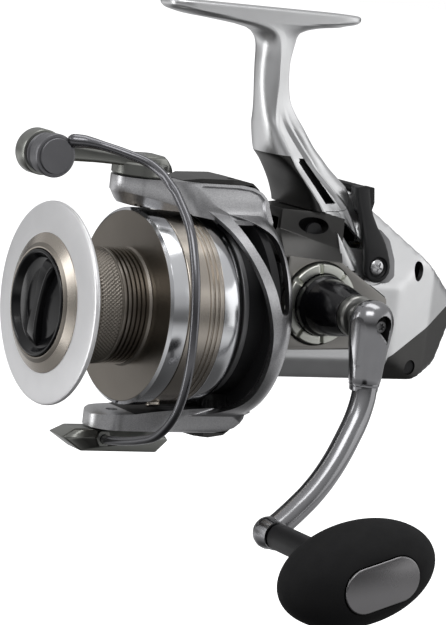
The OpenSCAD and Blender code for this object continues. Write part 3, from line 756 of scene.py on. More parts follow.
def stem_half(z):
    """Half section of the stem at a height, from the nose round to the rear."""
    x0, xc, yc, xr, yr, xb, power = table(STEM, z)
    share, out, depth = table(FLOOR, z)
    pts = []
    steps = 22
    for k in range(steps):
        a = math.pi / 2 * k / steps
        c, s = math.cos(a) ** (2 / power), math.sin(a) ** (2 / power)
        pts.append((lerp(xc, x0, c), yc * s))
    # crease, narrow front ridge, floor, rear ridge, flank: distance from the crease and height above it
    a, b = Vector((xc, yc)), Vector((xr, yr))
    along = (b - a).normalized()
    outward = Vector((-along.y, along.x))
    if outward.y < 0:
        outward = -outward
    length = (b - a).length
    rear = a + along * length * share + outward * out
    pitch = (rear - a).length
    run = (rear - a).normalized()
    side = Vector((-run.y, run.x))
    if side.y < 0:
        side = -side
    stops = [
        (0.0, 0.0), (0.3, 0.1), (0.9, 0.1), (1.25, -0.22), (1.45, -0.3), (1.65, -0.3), (2.0, -0.8),
        (2.3, -1.0),
    ]
    stops += [
        (0.5 * (2.3 + pitch - 3.2), -1.0), (pitch - 3.2, -1.0), (pitch - 2.8, -0.9), (pitch - 1.6, -0.1),
    ]
    stops += [(pitch - 1.1, 0.1), (pitch - 0.4, 0.12), (pitch, 0.0)]
    squeeze = min(1.0, pitch / 6.5)
    for d, h in stops:
        if d > pitch / 2:
            d = pitch - (pitch - d) * squeeze
        elif d != pitch / 2:
            d = d * squeeze
        q = a + run * d + side * (h * depth)
        pts.append((q.x, q.y))
    for k in range(1, 9):
        t = k / 8
        q = rear.lerp(b, t) + outward * (0.8 * math.sin(math.pi * t) * min(1, depth))
        pts.append((q.x, q.y))
    for k in range(1, 7):
        a2 = math.pi / 2 * k / 6
        pts.append((lerp(xr, xb, math.sin(a2)), yr * math.cos(a2)))
    return pts


def stem_loft(heights):
    """Skin over the stem's sections, mirrored to the far side."""
    rings = []
    for z in heights:
        half = stem_half(z)
        ring = [(x, y, z) for x, y in half] + [(x, -y, z) for x, y in half[::-1][1:-1]]
        rings.append(ring)
    return loft(rings)


def levels(high, low, step):
    """Evenly spaced heights from high to low."""
    n = max(1, round((high - low) / step))
    return [lerp(high, low, i / n) for i in range(n + 1)]


SEAM = 38.4


def seam_zone(grow):
    """Everything that belongs to the stem casting: above the seam and in front of its rear end."""
    line = [
        (-20, 120), (-20, SEAM + grow), (-104.6, SEAM + grow), (-107.6, SEAM + 0.5 + grow),
        (-109.4 + grow * 0.4, 40.6),
    ]
    line += [(-110.3 + grow, 43.4), (-110.6 + grow, 50), (-125, 110), (-125, 120)]
    return prism(line, -40, 40)


HOUSE_SIDE = [(-79, -21), (-142.5, -21), (-155.5, -15.3), (-164, 0), (-164.8, 7.6), (-112, 45.8), (-98, 42)]
HOUSE_SIDE += [(-94, 30), (-87, 24), (-79, 22.5)]
HOUSE_END = [(17, -21), (22, -12.6), (22, 13), (17.5, 25), (9.5, 47)]
HOUSE_PLAN = [(-79, 22), (-130, 22), (-147, 17), (-164, 7.5)]


def inset(points, t):
    """Outline drawn in by t on every side."""
    n = len(points)
    area = sum(
        points[i][0] * points[(i + 1) % n][1] - points[(i + 1) % n][0] * points[i][1]
        for i in range(n)
    )
    out = []
    for i in range(n):
        p, a, b = Vector(points[i]), Vector(points[i - 1]), Vector(points[(i + 1) % n])
        u, v = (p - a).normalized(), (b - p).normalized()
        nu, nv = Vector((-u.y, u.x)), Vector((-v.y, v.x))
        if area < 0:
            nu, nv = -nu, -nv
        m = (nu + nv).normalized()
        out.append(tuple(p + m * (t / max(0.3, m.dot(nu)))))
    return out


def house_form(t):
    """Outer form of the housing, drawn in by t."""
    end = HOUSE_END + [(-y, z) for y, z in HOUSE_END[::-1]]
    plan = HOUSE_PLAN + [(x, -y) for x, y in HOUSE_PLAN[::-1]]
    a = slab(inset(HOUSE_SIDE, t), -24, 24, "xz")
    b = slab(inset(end, t), -170, -70, "yz")
    c = slab([(x - (t if x > -80 else 0), y) for x, y in inset(plan, t)], -30, 60, "xy")
    return cut(a, b, c, how="INTERSECT")


def melt(obj, cell, rounds):
    """Softens every edge of a solid: an even fine mesh, smoothed a few rounds."""
    m = obj.modifiers.new("even", "REMESH")
    m.mode = "VOXEL"
    m.voxel_size = cell / 1000
    m = obj.modifiers.new("soft", "SMOOTH")
    m.factor = 0.5
    m.iterations = rounds
    return bake(obj)


def box(x0, x1, y0, y1, z0, z1):
    """A plain block."""
    return slab([(x0, z0), (x1, z0), (x1, z1), (x0, z1)], y0, y1)


def bar_y(x, z, y0, y1, r, sides=48):
    """A plain cylinder along Y."""
    return lathe(plug(y0, y1, r), (x, 0, z), "y", sides)


UPPER_SLOT = [(-88.4, 54.6), (-88.9, 55.6), (-90.0, 56.0), (-91.2, 55.5), (-104.2, 41.2), (-99.4, 40.9)]
LOWER_SLOT = [
    (-102.4, 35.6), (-106.4, 36.3), (-115.2, 28.4), (-115.4, 26.6), (-114.6, 25.9), (-109.6, 26.2),
    (-108.4, 27.2),
]


def flank_cuts(obj, upper):
    """Slots in both flanks; their walls and floor are painted black as shade afterwards."""
    line, floor = (UPPER_SLOT, 6.4) if upper else (LOWER_SLOT, 9.5)
    for side in (1, -1):
        cut(obj, flank(line, floor, 30, side))


def within(x, z, line):
    """Whether a point lies inside an outline."""
    inside = False
    for i in range(len(line)):
        (x0, z0), (x1, z1) = line[i - 1], line[i]
        if (z0 > z) != (z1 > z) and x < x0 + (x1 - x0) * (z - z0) / (z1 - z0):
            inside = not inside
    return inside


def paint_black_shade(obj, test):
    """Paints the faces that pass the test of centre and normal black, as painted shade."""
    obj.data.materials.append(M["black_satin"])
    for p in obj.data.polygons:
        c = (Vector(p.center) - row((0, 0, 0))) * 1000
        if test(c, p.normal):
            p.material_index = len(obj.data.materials) - 1


def black_recess_shade(obj, line, below):
    """Paints the walls and floor of a recess black, as painted shade."""
    wide = inset(line, -0.08)
    paint_black_shade(obj, lambda c, normal: within(c.x, c.z, wide) and abs(c.y) < below(c.z))


def casting():
    """Foot, stem and shoulder in one piece, with the throat cut off it to carry a painted dark reflection."""
    heights = levels(107.2, 101, 0.25) + levels(100.5, 72, 1.0) + levels(71.5, 37, 0.7)
    stem = raw(*stem_loft(heights))
    cut(stem, raw(*seam_zone(0.1)), how="INTERSECT")
    flank_cuts(stem, True)
    # the throat in front, under the heel, is cut off the same casting and given dark gunmetal as a painted
    # reflection of the dark surroundings
    throat_line = [
        (-60, 56.8), (-83.6, 56.8), (-85.9, 52.9), (-90.3, 47.0), (-95.0, 41.1), (-97.3, 37), (-60, 37),
    ]
    throat_box = prism(throat_line, -30, 30)
    throat = twin(stem)
    cut(throat, raw(*throat_box), how="INTERSECT")
    cut(stem, raw(*throat_box))
    # gunmetal on the throat is a painted dark reflection on the silver casting
    for o, name, look in ((stem, "stem_casting", "silver"), (throat, "stem_throat_painted_reflection", "gunmetal")):
        finish(o, name, "frame", look, ["body"], 32)
        # the upper slot's walls and floor are painted black as shade
        black_recess_shade(o, UPPER_SLOT, lambda z: 12.6 - 0.215 * (z - 41) - 0.45)


casting()


def housing():
    """The two halves of the housing and the rear cap, with the places of the front panel and the side plate
    cut out.
    """
    shell = house_form(0)
    melt(shell, cell=1.15, rounds=6)
    shoulder = raw(*stem_loft(levels(43, 18, 0.7)))
    cut(shoulder, slab([(-94.5, 43), (-94.5, 10), (-140, 10), (-140, 43)], -30, 30), how="INTERSECT")
    cut(shell, shoulder, how="UNION")
    # the stem casting's place
    cut(shell, raw(*seam_zone(-0.1)))
    flank_cuts(shell, False)
    cut(shell, house_form(2.4))
    panel_cut = [(-70, 19.97), (-105.04, 19.97), (-101.53, 37.43), (-94.1, 38.9), (-70, 38.9)]
    cap_line = [(-128, -12), (-159.4, 5.7), (-170, 3.4), (-170, -24), (-128, -24)]
    cap = twin(shell)
    cut(shell, slab(cap_line, -30, 30))
    cut(cap, slab(inset(cap_line, 0.15), -30, 30), how="INTERSECT")
    cut(shell, slab(panel_cut, -30, 30))
    # moat of the side plate, seats of the lever's round ends and the hole of the pinion bearing
    moat = rounded(
        [(-70, 24.5), (-103.0, 22.2), (-123.6, 10.0), (-124.0, 7.4), (-112.3, -9.3), (-70, -10.4)], 1.4,
    )
    cut(shell, slab(moat, 21.3, 30))
    for low, high in ((20.9, 30), (-30, -20.9)):
        cut(shell, bar_y(LEVER.x, LEVER.z, low, high, 6.75, 64))
    cut(shell, bar_y(CRANK.x, CRANK.z, -30, 30, 9.0, 64))
    cut(shell, lathe(plug(76, 84, 9), sides=64))
    # black oval hole near the rear, on both flanks
    for side in (1, -1):
        cut(shell, flank(oval(-138.8, 19.3, 2.2, 3.6, 32), 12, 30, side))
    near = twin(shell)
    cut(near, box(-180, -60, 0.02, 40, -40, 60), how="INTERSECT")
    cut(shell, box(-180, -60, -40, 0.0, -40, 60), how="INTERSECT")
    finish(near, "cover_casting", "frame", "silver", ["side_cover"], 34)
    finish(shell, "housing_casting", "frame", "silver", ["body"], 34)
    # the lower slot's walls and floor are painted black as shade on both halves
    for o in (near, shell):
        black_recess_shade(o, LOWER_SLOT, lambda z: 14.6 - 0.1 * (z - 27) - 0.5)
    # the moat's walls and floor round the side plate are painted black as shade
    black_recess_shade(near, moat, lambda z: 21.9)
    for low, high in ((15, 30), (-30, -15)):
        cut(cap, bar_y(-140.3, -15.9, low, high, 2.75))
    finish(cap, "rear_cap_shell", "frame", "gunmetal", ["rear_cap"], 28)


housing()


def front_panel():
    """Dark panel in front, between the seam and the side plate, with its oval recess."""
    # from the seam down: inner and outer end of the top edge, of the crease and of the lower edge
    near = [(-85.0, 8.0, 37.9), (-97.3, 14.5, 38.2), (-105.4, 17.5, 36.5)]
    near += [(-84.8, 8.0, 30.9), (-93.4, 15.0, 28.5), (-105.0, 18.6, 25.5)]
    near += [(-80.2, 20.6, 22.6), (-104.2, 21.2, 21.8), (-80.2, 20.6, 20.2), (-104.2, 21.2, 20.2)]
    faces = [[0, 1, 4, 3], [1, 2, 5, 4], [3, 4, 6], [4, 5, 7, 6], [6, 7, 9, 8]]
    verts = near + [(x, -y, z) for x, y, z in near]
    n = len(near)
    faces += [[n + i for i in f[::-1]] for f in faces]
    faces += [[0, 3, n + 3, n], [3, 6, n + 6, n + 3], [6, 8, n + 8, n + 6]]
    faces += [
        [0, n, n + 1, 1], [1, n + 1, n + 2, 2], [2, n + 2, n + 5, 5], [5, n + 5, n + 7, 7],
        [7, n + 7, n + 9, 9],
    ]
    faces += [[8, 9, n + 9, n + 8]]
    obj = raw(verts, faces)
    hollow = [(-83, 34.5), (-95, 34.5), (-103.6, 34.5), (-103.6, 19), (-79, 19), (-79, 20.4), (-84, 29)]
    cut(obj, slab(hollow, -6, 6))
    bevel(obj, 0.5, 3, 20)
    hole = oval(-94.9, 33.2, 5.0, 2.9, 40)
    for side in (1, -1):
        cut(obj, flank(hole, 9, 30, side))
    finish(obj, "front_panel_shell", "frame", "gunmetal", ["front_panel"], 24)
    # the oval recess's walls and floor are painted black as shade
    black_recess_shade(obj, hole, lambda z: 11.5)


front_panel()


def side_plate():
    """Grey plate in the moat and the castellated cap round the crank's sleeve."""
    outline = rounded(
        [(-80.2, 23.4), (-102.7, 21.6), (-123, 9.6), (-123.4, 7.6), (-112, -8.7), (-80.2, -9.8)], 1.1,
    )
    obj = slab(outline, 21.6, 23.7)
    cut(obj, bar_y(CRANK.x, CRANK.z, 20, 26, 15.0, 96))
    bevel(obj, 0.35, 3, 40)
    finish(obj, "side_plate_panel", "frame", "grey", ["side_plate"], 30)
    prof = [(11.0, 22.0), (14.2, 22.0), (14.2, 25.7), (13.9, 26.0), (11.3, 26.0), (11.0, 25.7)]
    cap = lathe(prof, (CRANK.x, 0, CRANK.z), "y")
    for k in range(8):
        a = math.radians(45 * k + 8)
        c = Vector((CRANK.x, 0, CRANK.z)) + Vector((math.sin(a), 0, math.cos(a))) * 13.6
        u, w = Vector((math.cos(a), 0, -math.sin(a))), Vector((math.sin(a), 0, math.cos(a)))
        # each notch widens outwards
        ring = [c + u * p * 1.1 + w * q * 2.6 for p, q in ((-0.6, -1), (0.6, -1), (1, 1), (-1, 1))]
        cut(cap, block(ring, 24.2, 27))
    bevel(cap, 0.25, 2, 40)
    finish(cap, "castellated_cap", "frame", "cap", ["handle_cap"], 30)


side_plate()

# ---- crank
def sleeve():
    """Tapered sleeve over the crank's shaft, and the collar at its outer end."""
    prof = [
        (4.1, 26.4), (10.6, 26.4), (10.9, 27.0), (10.8, 28.8), (10.3, 29.8), (9.95, 30.4), (9.75, 33),
        (9.45, 35.6),
    ]
    prof += [(9.0, 38.4), (8.5, 41), (7.95, 43.6), (7.45, 45.6), (7.3, 46.4), (4.1, 46.4)]
    where = (CRANK.x, 0, CRANK.z)
    spun(
        "crank_sleeve_turned", soften(prof, 0.25), "crank", "black_gloss", ["crank_sleeve"], where, "y",
        128, 40,
    )
    prof = [(4.1, 46.5), (6.6, 46.5), (7.3, 46.9), (7.3, 49.6), (6.8, 50.3), (4.1, 50.3)]
    spun(
        "crank_collar_turned", soften(prof, 0.2), "crank", "dark_metal", ["crank_collar"], where, "y", 96,
        40,
    )


sleeve()

ARM = [
    (0, 0, -15), (-0.3, 0.2, -20), (0.4, 1, -26.5), (2.9, 2.3, -33.4), (7.1, 4.2, -40.2),
    (11.6, 5.9, -46.8),
]
ARM += [(16.7, 7.4, -53.1), (22.1, 8.5, -58.7), (27.7, 9.2, -63.6), (33, 9.8, -67.8), (37.6, 10, -71.2)]


# down the crank's head: height and (half width in x, half depth in y, shift in x)
HEAD = [
    (7.35, (0.0, 0.0, 0.0)),
    (7.1, (2.0, 1.8, 0.0)),
    (6.4, (4.0, 3.6, 0.0)),
    (5.0, (5.9, 5.3, 0.0)),
    (3.0, (7.2, 6.5, 0.0)),
    (0.5, (7.9, 7.1, 0.0)),
    (-2.0, (7.95, 7.15, 0.0)),
    (-5.0, (7.6, 6.9, 0.0)),
    (-9.0, (7.0, 6.5, 0.0)),
    (-14.0, (6.3, 6.0, -0.1)),
    (-19.0, (5.8, 5.6, -0.2)),
    (-21.0, (5.5, 5.4, -0.2)),
    (-21.6, (5.2, 5.1, -0.2)),
]


def crank_arm():
    """Bent arm with its dome-ended head, knuckle and lock screw."""
    head = Vector((CRANK.x, 58.0, CRANK.z))
    line = [head + Vector(p) for p in spline(ARM[1:], 8)]
    arm = raw(*sweep(line, 4.3, 32))
    # dome-ended head: sections across the vertical, from the dome's top down to the arm
    rings = []
    heights = [
        7.34, 7.25, 7.1, 6.8, 6.4, 5.8, 5.0, 4.0, 3.0, 1.8, 0.5, -0.7, -2, -3.5, -5, -7, -9, -11.5, -14,
        -16.5, -19, -21, -21.6,
    ]
    for z in heights:
        rx, ry, dx = table(HEAD, z)
        rx, ry = max(rx, 0.35), max(ry, 0.35)
        rings.append([head + Vector((x, y, z)) for x, y in oval(dx, -0.4, rx, ry, 72)])
    body = skin(rings)
    # leaf-shaped facet towards the front, ending in a step
    n = Vector((0.90, 0.43, 0.0)).normalized()
    side = Vector((-n.y, n.x, 0.0))
    start = head + Vector((0, -0.4, 0))
    line = [(8.6, 12.0), (5.9, -14.6), (6.6, -15.4), (20, -15.4), (20, 12.0)]
    verts = [start + n * d + side * w + Vector((0, 0, z)) for w in (-12, 12) for d, z in line]
    faces = [[0, 1, 2, 3, 4], [9, 8, 7, 6, 5]]
    faces += [[k, (k + 1) % 5, 5 + (k + 1) % 5, 5 + k] for k in range(5)]
    cut(body, raw(verts, faces))
    # stepped band under the head
    prof = [(0, -24.2), (4.65, -24.2), (4.95, -23.9), (5.05, -22.4), (5.3, -22.1), (5.35, -21.2), (0, -21.2)]
    band = lathe(prof, head + Vector((-0.2, -0.4, 0)), "z", 64)
    cut(body, arm, band, how="UNION")
    # knuckle round the knob's pin: a ball with a flat outer face
    ball = [
        (0.0, -5.6), (1.6, -5.35), (3.0, -4.75), (4.2, -3.7), (5.1, -2.3), (5.55, -0.8), (5.55, 0.8),
        (5.1, 2.3),
    ]
    knuckle = [(r, d + 68.0) for r, d in ball] + [(4.9, 72.9), (0.0, 72.9)]
    cut(body, lathe(knuckle, (PIN.x, 0, PIN.z), "y", 64), how="UNION")
    # drop-shaped recess of the lock screw
    drop = [(-97.8, 0.6)]
    for k in range(21):
        t = math.radians(-25 + 12 * k)
        drop.append((-95.3 + 3.3 * math.cos(t), 6.6 + 3.3 * math.sin(t)))
    cut(body, slab(drop, 60.4, 80))
    cut(body, bar_y(CRANK.x, CRANK.z, 50, 53, 4.1))
    cut(body, bar_y(PIN.x, PIN.z, 65, 80, 2.6))
    bevel(body, 0.3, 3, 34)
    finish(body, "crank_arm_forged", "crank", "smoke", ["crank_arm"], 32)
    # the lock screw's recess is painted black as shade
    wide = inset(drop, -0.1)
    paint_black_shade(body, lambda c, normal: within(c.x, c.z, wide) and 59 < c.y < 64.3)
    # six-lobed screw
    centre = Vector((-95.7, 60.5, 5.8))
    obj = lathe([(0, 0), (2.25, 0), (2.25, 0.9), (1.9, 1.35), (0, 1.35)], centre, "y", 48)
    star = []
    for k in range(60):
        t = 2 * math.pi * k / 60
        r = 1.1 + 0.28 * math.cos(6 * t)
        star.append((centre.x + r * math.cos(t), centre.z + r * math.sin(t)))
    cut(obj, slab(star, centre.y + 0.5, centre.y + 3))
    finish(obj, "lock_screw_head", "crank", "cast", ["lock_screw"], 30)


crank_arm()


def knob():
    """Soft oval grip with a flat outer end, its recess and the metal plate."""
    tilt = math.radians(16.5)
    # half length, half depth and half width; past flat, the outer end is pressed in
    a, b, c, flat, press = 27.9, 17.4, 16.4, 14.9, 0.35
    side_power, end_power = 0.92, 0.96
    verts = []
    rows_n, around = 64, 96
    for i in range(rows_n + 1):
        t = math.pi * i / rows_n - math.pi / 2
        for k in range(around):
            p = 2 * math.pi * k / around
            round_side = math.copysign(abs(math.cos(t)) ** side_power, math.cos(t))
            x = a * round_side * math.cos(p)
            z = c * round_side * math.sin(p)
            y = b * math.copysign(abs(math.sin(t)) ** end_power, math.sin(t))
            y = min(y, flat + (y - flat) * press)
            verts.append((x, y, z))
    faces = ring_faces(rows_n + 1, around)
    turn = Matrix.Rotation(tilt, 4, "Y")
    centre = Vector((PIN.x, 121.5, PIN.z))
    obj = raw([turn @ Vector(v) + centre for v in verts], faces)

    def stadium(l, w, y0, y1):
        pts = []
        for k in range(17):
            t = -math.pi / 2 + math.pi * k / 16
            pts.append((l / 2 - w / 2 + w / 2 * math.cos(t), w / 2 * math.sin(t)))
        for k in range(17):
            t = math.pi / 2 + math.pi * k / 16
            pts.append((-l / 2 + w / 2 + w / 2 * math.cos(t), w / 2 * math.sin(t)))
        v, f = prism(pts, y0, y1)
        return raw([turn @ Vector(q) + centre for q in v], f)

    cut(obj, stadium(28.9, 15.8, 14.0, 26))
    bore = turned(
        [(0, 90), (4.62, 90), (4.62, 127), (4.2, 127), (4.2, 131), (0, 131)], (PIN.x, 0, PIN.z), "y", 48,
    )
    cut(obj, raw(*bore))
    finish(obj, "knob_grip", "knob", "rubber", ["knob"], 50)
    plate = stadium(28.1, 15.1, 14.1, 15.75)
    bevel(plate, 0.45, 3, 40)
    finish(plate, "knob_plate_inlay", "knob", "inlay", ["knob_plate"], 30)
    prof = [
        (2.6, 73.6), (4.2, 73.6), (4.55, 74.1), (4.55, 92), (5.0, 97), (5.3, 99.5), (4.55, 100.5),
        (4.55, 126.8), (2.6, 126.8),
    ]
    spun("knob_sleeve_turned", prof, "knob", "black_satin", ["knob_sleeve"], (PIN.x, 0, PIN.z), "y", 64, 40)


knob()

# ---- bait feeder lever
# up the lever's leg: height, x middle, y middle, half length in x, half thickness in y
LEG = [
    (-5.5, 0, 22.35, 0.9, 0.9),
    (-5.1, 0, 22.35, 2.3, 1.1),
    (-3.8, 0, 22.35, 4.0, 1.25),
    (-1.8, 0, 22.35, 5.2, 1.25),
    (0.4, 0, 22.35, 5.35, 1.25),
    (3.0, 0.4, 22.2, 5.15, 1.3),
    (6.0, 1.0, 21.7, 4.8, 1.5),
    (8.5, 1.5, 20.9, 4.5, 1.7),
    (11.0, 2.1, 19.9, 4.0, 1.8),
    (14.0, 3.1, 18.7, 3.2, 1.9),
    (18.0, 4.1, 17.3, 2.6, 1.9),
    (22.0, 4.6, 15.8, 2.6, 1.9),
    (25.0, 4.8, 14.7, 2.8, 1.8),
    (27.1, 4.9, 14.2, 2.8, 1.6),
]


def feeder_lever():
    """Yoke of two legs and a thumb bar, softened all over."""
    o = LEVER
    shapes = []
    for s in (1, -1):
        rings = []
        for z, x, y, hx, hy in LEG:
            pts = [(hx, hy), (-hx, hy), (-hx, -hy), (hx, -hy)]
            rings.append(
                [o + Vector((x + px, s * (y + py), z)) for px, py in rounded(pts, min(hx, hy) * 0.8, 3)]
            )
        shapes.append(skin(rings))
    bar = rounded([(1.6, 22.6), (4.4, 25.4), (4.9, 27.0), (4.2, 27.6), (1.9, 27.5), (1.3, 26.0)], 0.5, 3)
    shapes.append(slab(placed(bar, o), -14.5, 14.5))
    for s in (1, -1):
        # web between the leg and the bar
        web = rounded([(1.4, 14.0), (6.2, 19.0), (7.0, 27.3), (0.2, 27.5), (-0.6, 22.0)], 0.6, 3)
        shapes.append(flank(placed(web, o), 10.5, 15.2, s))
    obj = shapes[0]
    cut(obj, *shapes[1:], how="UNION")
    for s in (1, -1):
        seat = turned([(0, 22.2), (3.2, 22.2), (3.9, 22.8), (4.1, 30), (0, 30)], (o.x, 0, o.z), "y", 48)
        cut(obj, flipped(seat, s, 1))
    cut(obj, bar_y(o.x, o.z, -30, 30, 2.25, 32))
    finish(obj, "feeder_lever_yoke", "feeder_lever", "black_satin", ["feeder_lever"], 35)
    # its two cross-slotted screws
    screws = []
    prof = [
        (0, 21.1), (2.15, 21.1), (2.15, 22.2), (2.9, 22.3), (2.8, 22.9), (2.2, 23.4), (1.2, 23.75),
        (0, 23.85),
    ]
    for s in (1, -1):
        screws.append(flipped(turned(prof, (o.x, 0, o.z), "y", 48), s, 1))
        for turn in (20, 110):
            t = math.radians(turn)
            u, w = Vector((math.cos(t), 0, math.sin(t))), Vector((-math.sin(t), 0, math.cos(t)))
            ring = [o + u * p * 1.8 + w * q * 0.36 for p, q in ((-1, -1), (1, -1), (1, 1), (-1, 1))]
            cut(screws[-1], block(ring, 22.6 * s, 25 * s))
    cut(screws[0], screws[1], how="UNION")
    finish(screws[0], "lever_screw_heads", "feeder_lever", "steel", ["lever_screws"], 35)


feeder_lever()


def lever_boss():
    """Low dark pads on the flanks, behind the lever's legs."""
    line = [
        (1, 12.4), (-1.6, 12.7), (-4.5, 12.6), (-8.2, 9.2), (-9.6, 2.4), (-8.9, -3.3), (-6, -5.5),
        (1, -5.5),
    ]
    line = rounded(placed(line, LEVER), [0, 1, 2, 3, 3, 2, 2, 0])
    pad = slab(line, -30, 30)
    cut(pad, house_form(-1.0), how="INTERSECT")
    cut(pad, house_form(0.3))
    bevel(pad, 0.25, 2, 40)
    finish(pad, "lever_boss_pads", "frame", "cast", ["lever_boss"], 30)


lever_boss()

# ---- rotor
# inner radius of the drum's wall, which its arms also leave free
DRUM = 36.0
# front edge of the near wall and the leaf-shaped window behind it, in x and z
RIM = [
    (-44, 39.2), (-50.0, 37.4), (-53.6, 33.7), (-56.7, 29.6), (-59.8, 23.8), (-62.3, 18.2), (-64.6, 11.9),
    (-66.8, 4),
]
RIM += [
    (-68.3, -3), (-69.2, -12), (-69.4, -20), (-68.8, -26.5), (-66.2, -31.0), (-60, -34.2), (-52, -36.2),
    (-44, -37.2),
]
LEAF = [
    (-58.3, 35.6), (-60.4, 31.3), (-63.3, 25), (-66, 19.3), (-68.6, 12.4), (-69.9, 7.6), (-71.0, 5.0),
    (-72.3, 4.4),
]
LEAF += [
    (-73.3, 5.4), (-73.7, 8.5), (-73.8, 14), (-73.9, 20), (-73.8, 25.5), (-72.8, 29.3), (-70.0, 31.9),
    (-64.5, 34.4),
]
ARM_SIDE = [(10.9, 46), (10.9, 45.2), (11.9, 43.4), (13.6, 38.5), (17.0, 33.8), (17.0, 30)]


def outline(points, steps=5):
    """Smooth outline through points in x and z."""
    line = spline([(x, 0, z) for x, z in points], steps)
    return [(p.x, p.z) for p in line]


def half_turn(obj):
    """Turns a cutter or stock half a turn about the shaft."""
    pivot = row((0, 0, 0))
    obj.data.transform(
        Matrix.Translation(pivot) @ Matrix.Rotation(math.pi, 4, "X") @ Matrix.Translation(-pivot)
    )
    obj.data.update()
    obj.update_tag(refresh={"DATA"})
    return obj


def nose_form():
    """Form of the arm's nose: its plan shrinks towards the shaft, below a crease that falls to the rear."""
    rings = []
    keys = [
        (61, 0), (41.6, 0), (40.9, 0.7), (40.3, 1.1), (39.6, 1.6), (38.4, 2.3), (37.2, 3.1), (36.2, 4.2),
        (34.7, 6.2), (29.3, 8.6),
    ]
    for height, shrink in keys:
        ring = []
        for k in range(25):
            a = -math.pi / 2 + math.pi * k / 24
            ring.append((PIVOT_X + 0.37 + (10.47 - shrink) * math.cos(a), (10.47 - shrink) * math.sin(a)))
        tail = [
            (-40, 11.3 - shrink), (-46, 13.3 - shrink * 0.8), (-53, 17 - shrink * 0.4), (-60, 20),
            (-81, 20),
        ]
        ring += tail + [(x, -y) for x, y in tail[::-1]]
        fall = 0.19 if height < 60 else 0.0
        rings.append([(x, y, height - fall * min(20, max(0, -22 - x))) for x, y in ring])
    return skin(rings)


def arm_block(outer, rounded_nose):
    """One arm of the rotor, pointing up."""
    plan = []
    for k in range(25):
        a = -math.pi / 2 + math.pi * k / 24
        plan.append((PIVOT_X + 9.7 * math.cos(a), 9.7 * math.sin(a)))
    wide = [(-40, 10.3), (-46, 11.4), (-53, 13.6), (-60, 16.0), (-67, 17.0), (-76, 17.0)]
    plan += wide + [(x, -y) for x, y in wide[::-1]]
    block = slab(plan, 32, outer, "xy")
    side = [
        (-19, 39.2), (-21.0, 37.6), (-25, 36.8), (-34, 36.4), (-60, 32.6), (-76, 32.6), (-76, outer - 5.6),
    ]
    if rounded_nose:
        side = [(-19, 40.6), (-20.2, 38.0), (-22.4, 36.0), (-26, 35.2), (-34, 34.6), (-60, 32.0)] + side[5:]
    side += [(-75.2, outer - 3.8), (-73.4, outer - 2.0), (-70.5, outer - 0.7), (-66, outer), (-19, outer)]
    drop = 45.4 - outer
    profile = [(y, z - (drop if z > 37 else 0)) for y, z in ARM_SIDE]
    profile += [(-y, z) for y, z in profile[::-1]]
    cut(block, slab(side, -18, 18), slab(profile, -80, -15, "yz"), how="INTERSECT")
    if rounded_nose:
        cut(block, nose_form(), how="INTERSECT")
    # shallow pocket in the cheek, behind the rib that runs down into the near wall
    line = [
        (-47.5, outer - 0.9), (-52.5, 40.9 - drop), (-57.6, 37.2), (-59.6, 34.0), (-63, 30), (-73.9, 30),
        (-74.4, outer - 4.4),
    ]
    line += [(-72.6, outer - 2.6), (-69.5, outer - 1.5), (-64, outer - 0.9)]
    pocket = slab(rounded(line, 1.2), 5, 24)
    cut(pocket, slab([(y - math.copysign(1.0, y), z) for y, z in profile], -90, -10, "yz"))
    cut(block, pocket)
    cut(block, lathe(plug(10, 80, DRUM), sides=160))
    return block


def rotor_shell():
    """Drum with its rims and windows, hub, two arms and the cup inside."""
    wall = [
        (DRUM, 40.0), (38.3, 40.0), (38.5, 40.2), (38.5, 71), (38.3, 73.2), (37.6, 75.2), (36.6, 76),
        (35.5, 76), (35.5, 72), (DRUM, 70),
    ]
    obj = lathe(wall, sides=160)
    rim = outline(RIM) + [(-20, -37.2), (-20, 39.2)]
    leaf = outline(LEAF + LEAF[:1], 4)[:-1]
    for k in range(2):
        cutters = [slab(rim, 0, 60), slab(leaf, 8, 60)]
        if k:
            cutters = [half_turn(c) for c in cutters]
        cut(obj, *cutters)
    hub = [
        (4.6, 62.5), (30, 62.5), (30, 68.5), (36.2, 68.5), (36.2, 71.5), (30, 71.5), (30, 74.5),
        (27.6, 74.5), (27.6, 65.5), (4.6, 65.5),
    ]
    cut(obj, lathe(hub, sides=128), arm_block(45.4, True), half_turn(arm_block(42.4, False)), how="UNION")
    for side in (1, -1):
        cut(obj, flipped(turned(plug(30, 50, 2.1), (PIVOT_X, 0, 0), "z", 32), side, 2))
    cut(obj, box(-64, -37, -3.6, 3.6, 39.6, 45.3))
    bevel(obj, 0.55, 3, 35)
    finish(obj, "rotor_casting", "rotor", "rotor", ["rotor"], 38)

    def inside(c, normal):
        """The drum's inner wall and the front face of the hub, which are painted black as shade."""
        out = Vector((0, c.y, c.z))
        inner = out.length < 36.4 and normal.dot(out.normalized()) < -0.4
        hub_face = out.length < 36.2 and -75.8 < c.x
        return inner or hub_face

    # painted shade: the inside of the drum is the same casting, blackened here
    paint_black_shade(obj, inside)
    cup = [(26.4, 60.3), (30.0, 60.3), (30.4, 60.6), (30.4, 62.4), (26.4, 62.4)]
    spun("inner_cup_turned", soften(cup, 0.2), "rotor", "cast", ["inner_cup"], sides=128, smooth=35)


rotor_shell()


# the wire's middle line, from behind the boss round to the socket of the lower arm
WIRE = [
    (-7.4, 13.2, 56.2), (-13.6, 17.6, 54.7), (-19.2, 23.6, 52.7), (-21.9, 29.2, 49.9), (-22.9, 34.2, 46.8),
]
WIRE += [(-23.9, 38.4, 43.2), (-24, 48.5, 34), (-23.5, 55.4, 22), (-23.3, 58.4, 12), (-23.5, 59.3, 1.5)]
WIRE += [
    (-23.8, 58.8, -10), (-24.2, 55.8, -21.2), (-24.2, 50.9, -30), (-24.6, 41.6, -37.2), (-24.5, 31, -41),
]
WIRE += [(-24.4, 19.5, -43.8), (-24.4, 12, -45.2), (-24.4, 8.5, -45.8), (-24.4, 6, -45.8), (-24.4, 4, -45.8)]
WIRE += [(-24.4, 2.2, -45.8)]


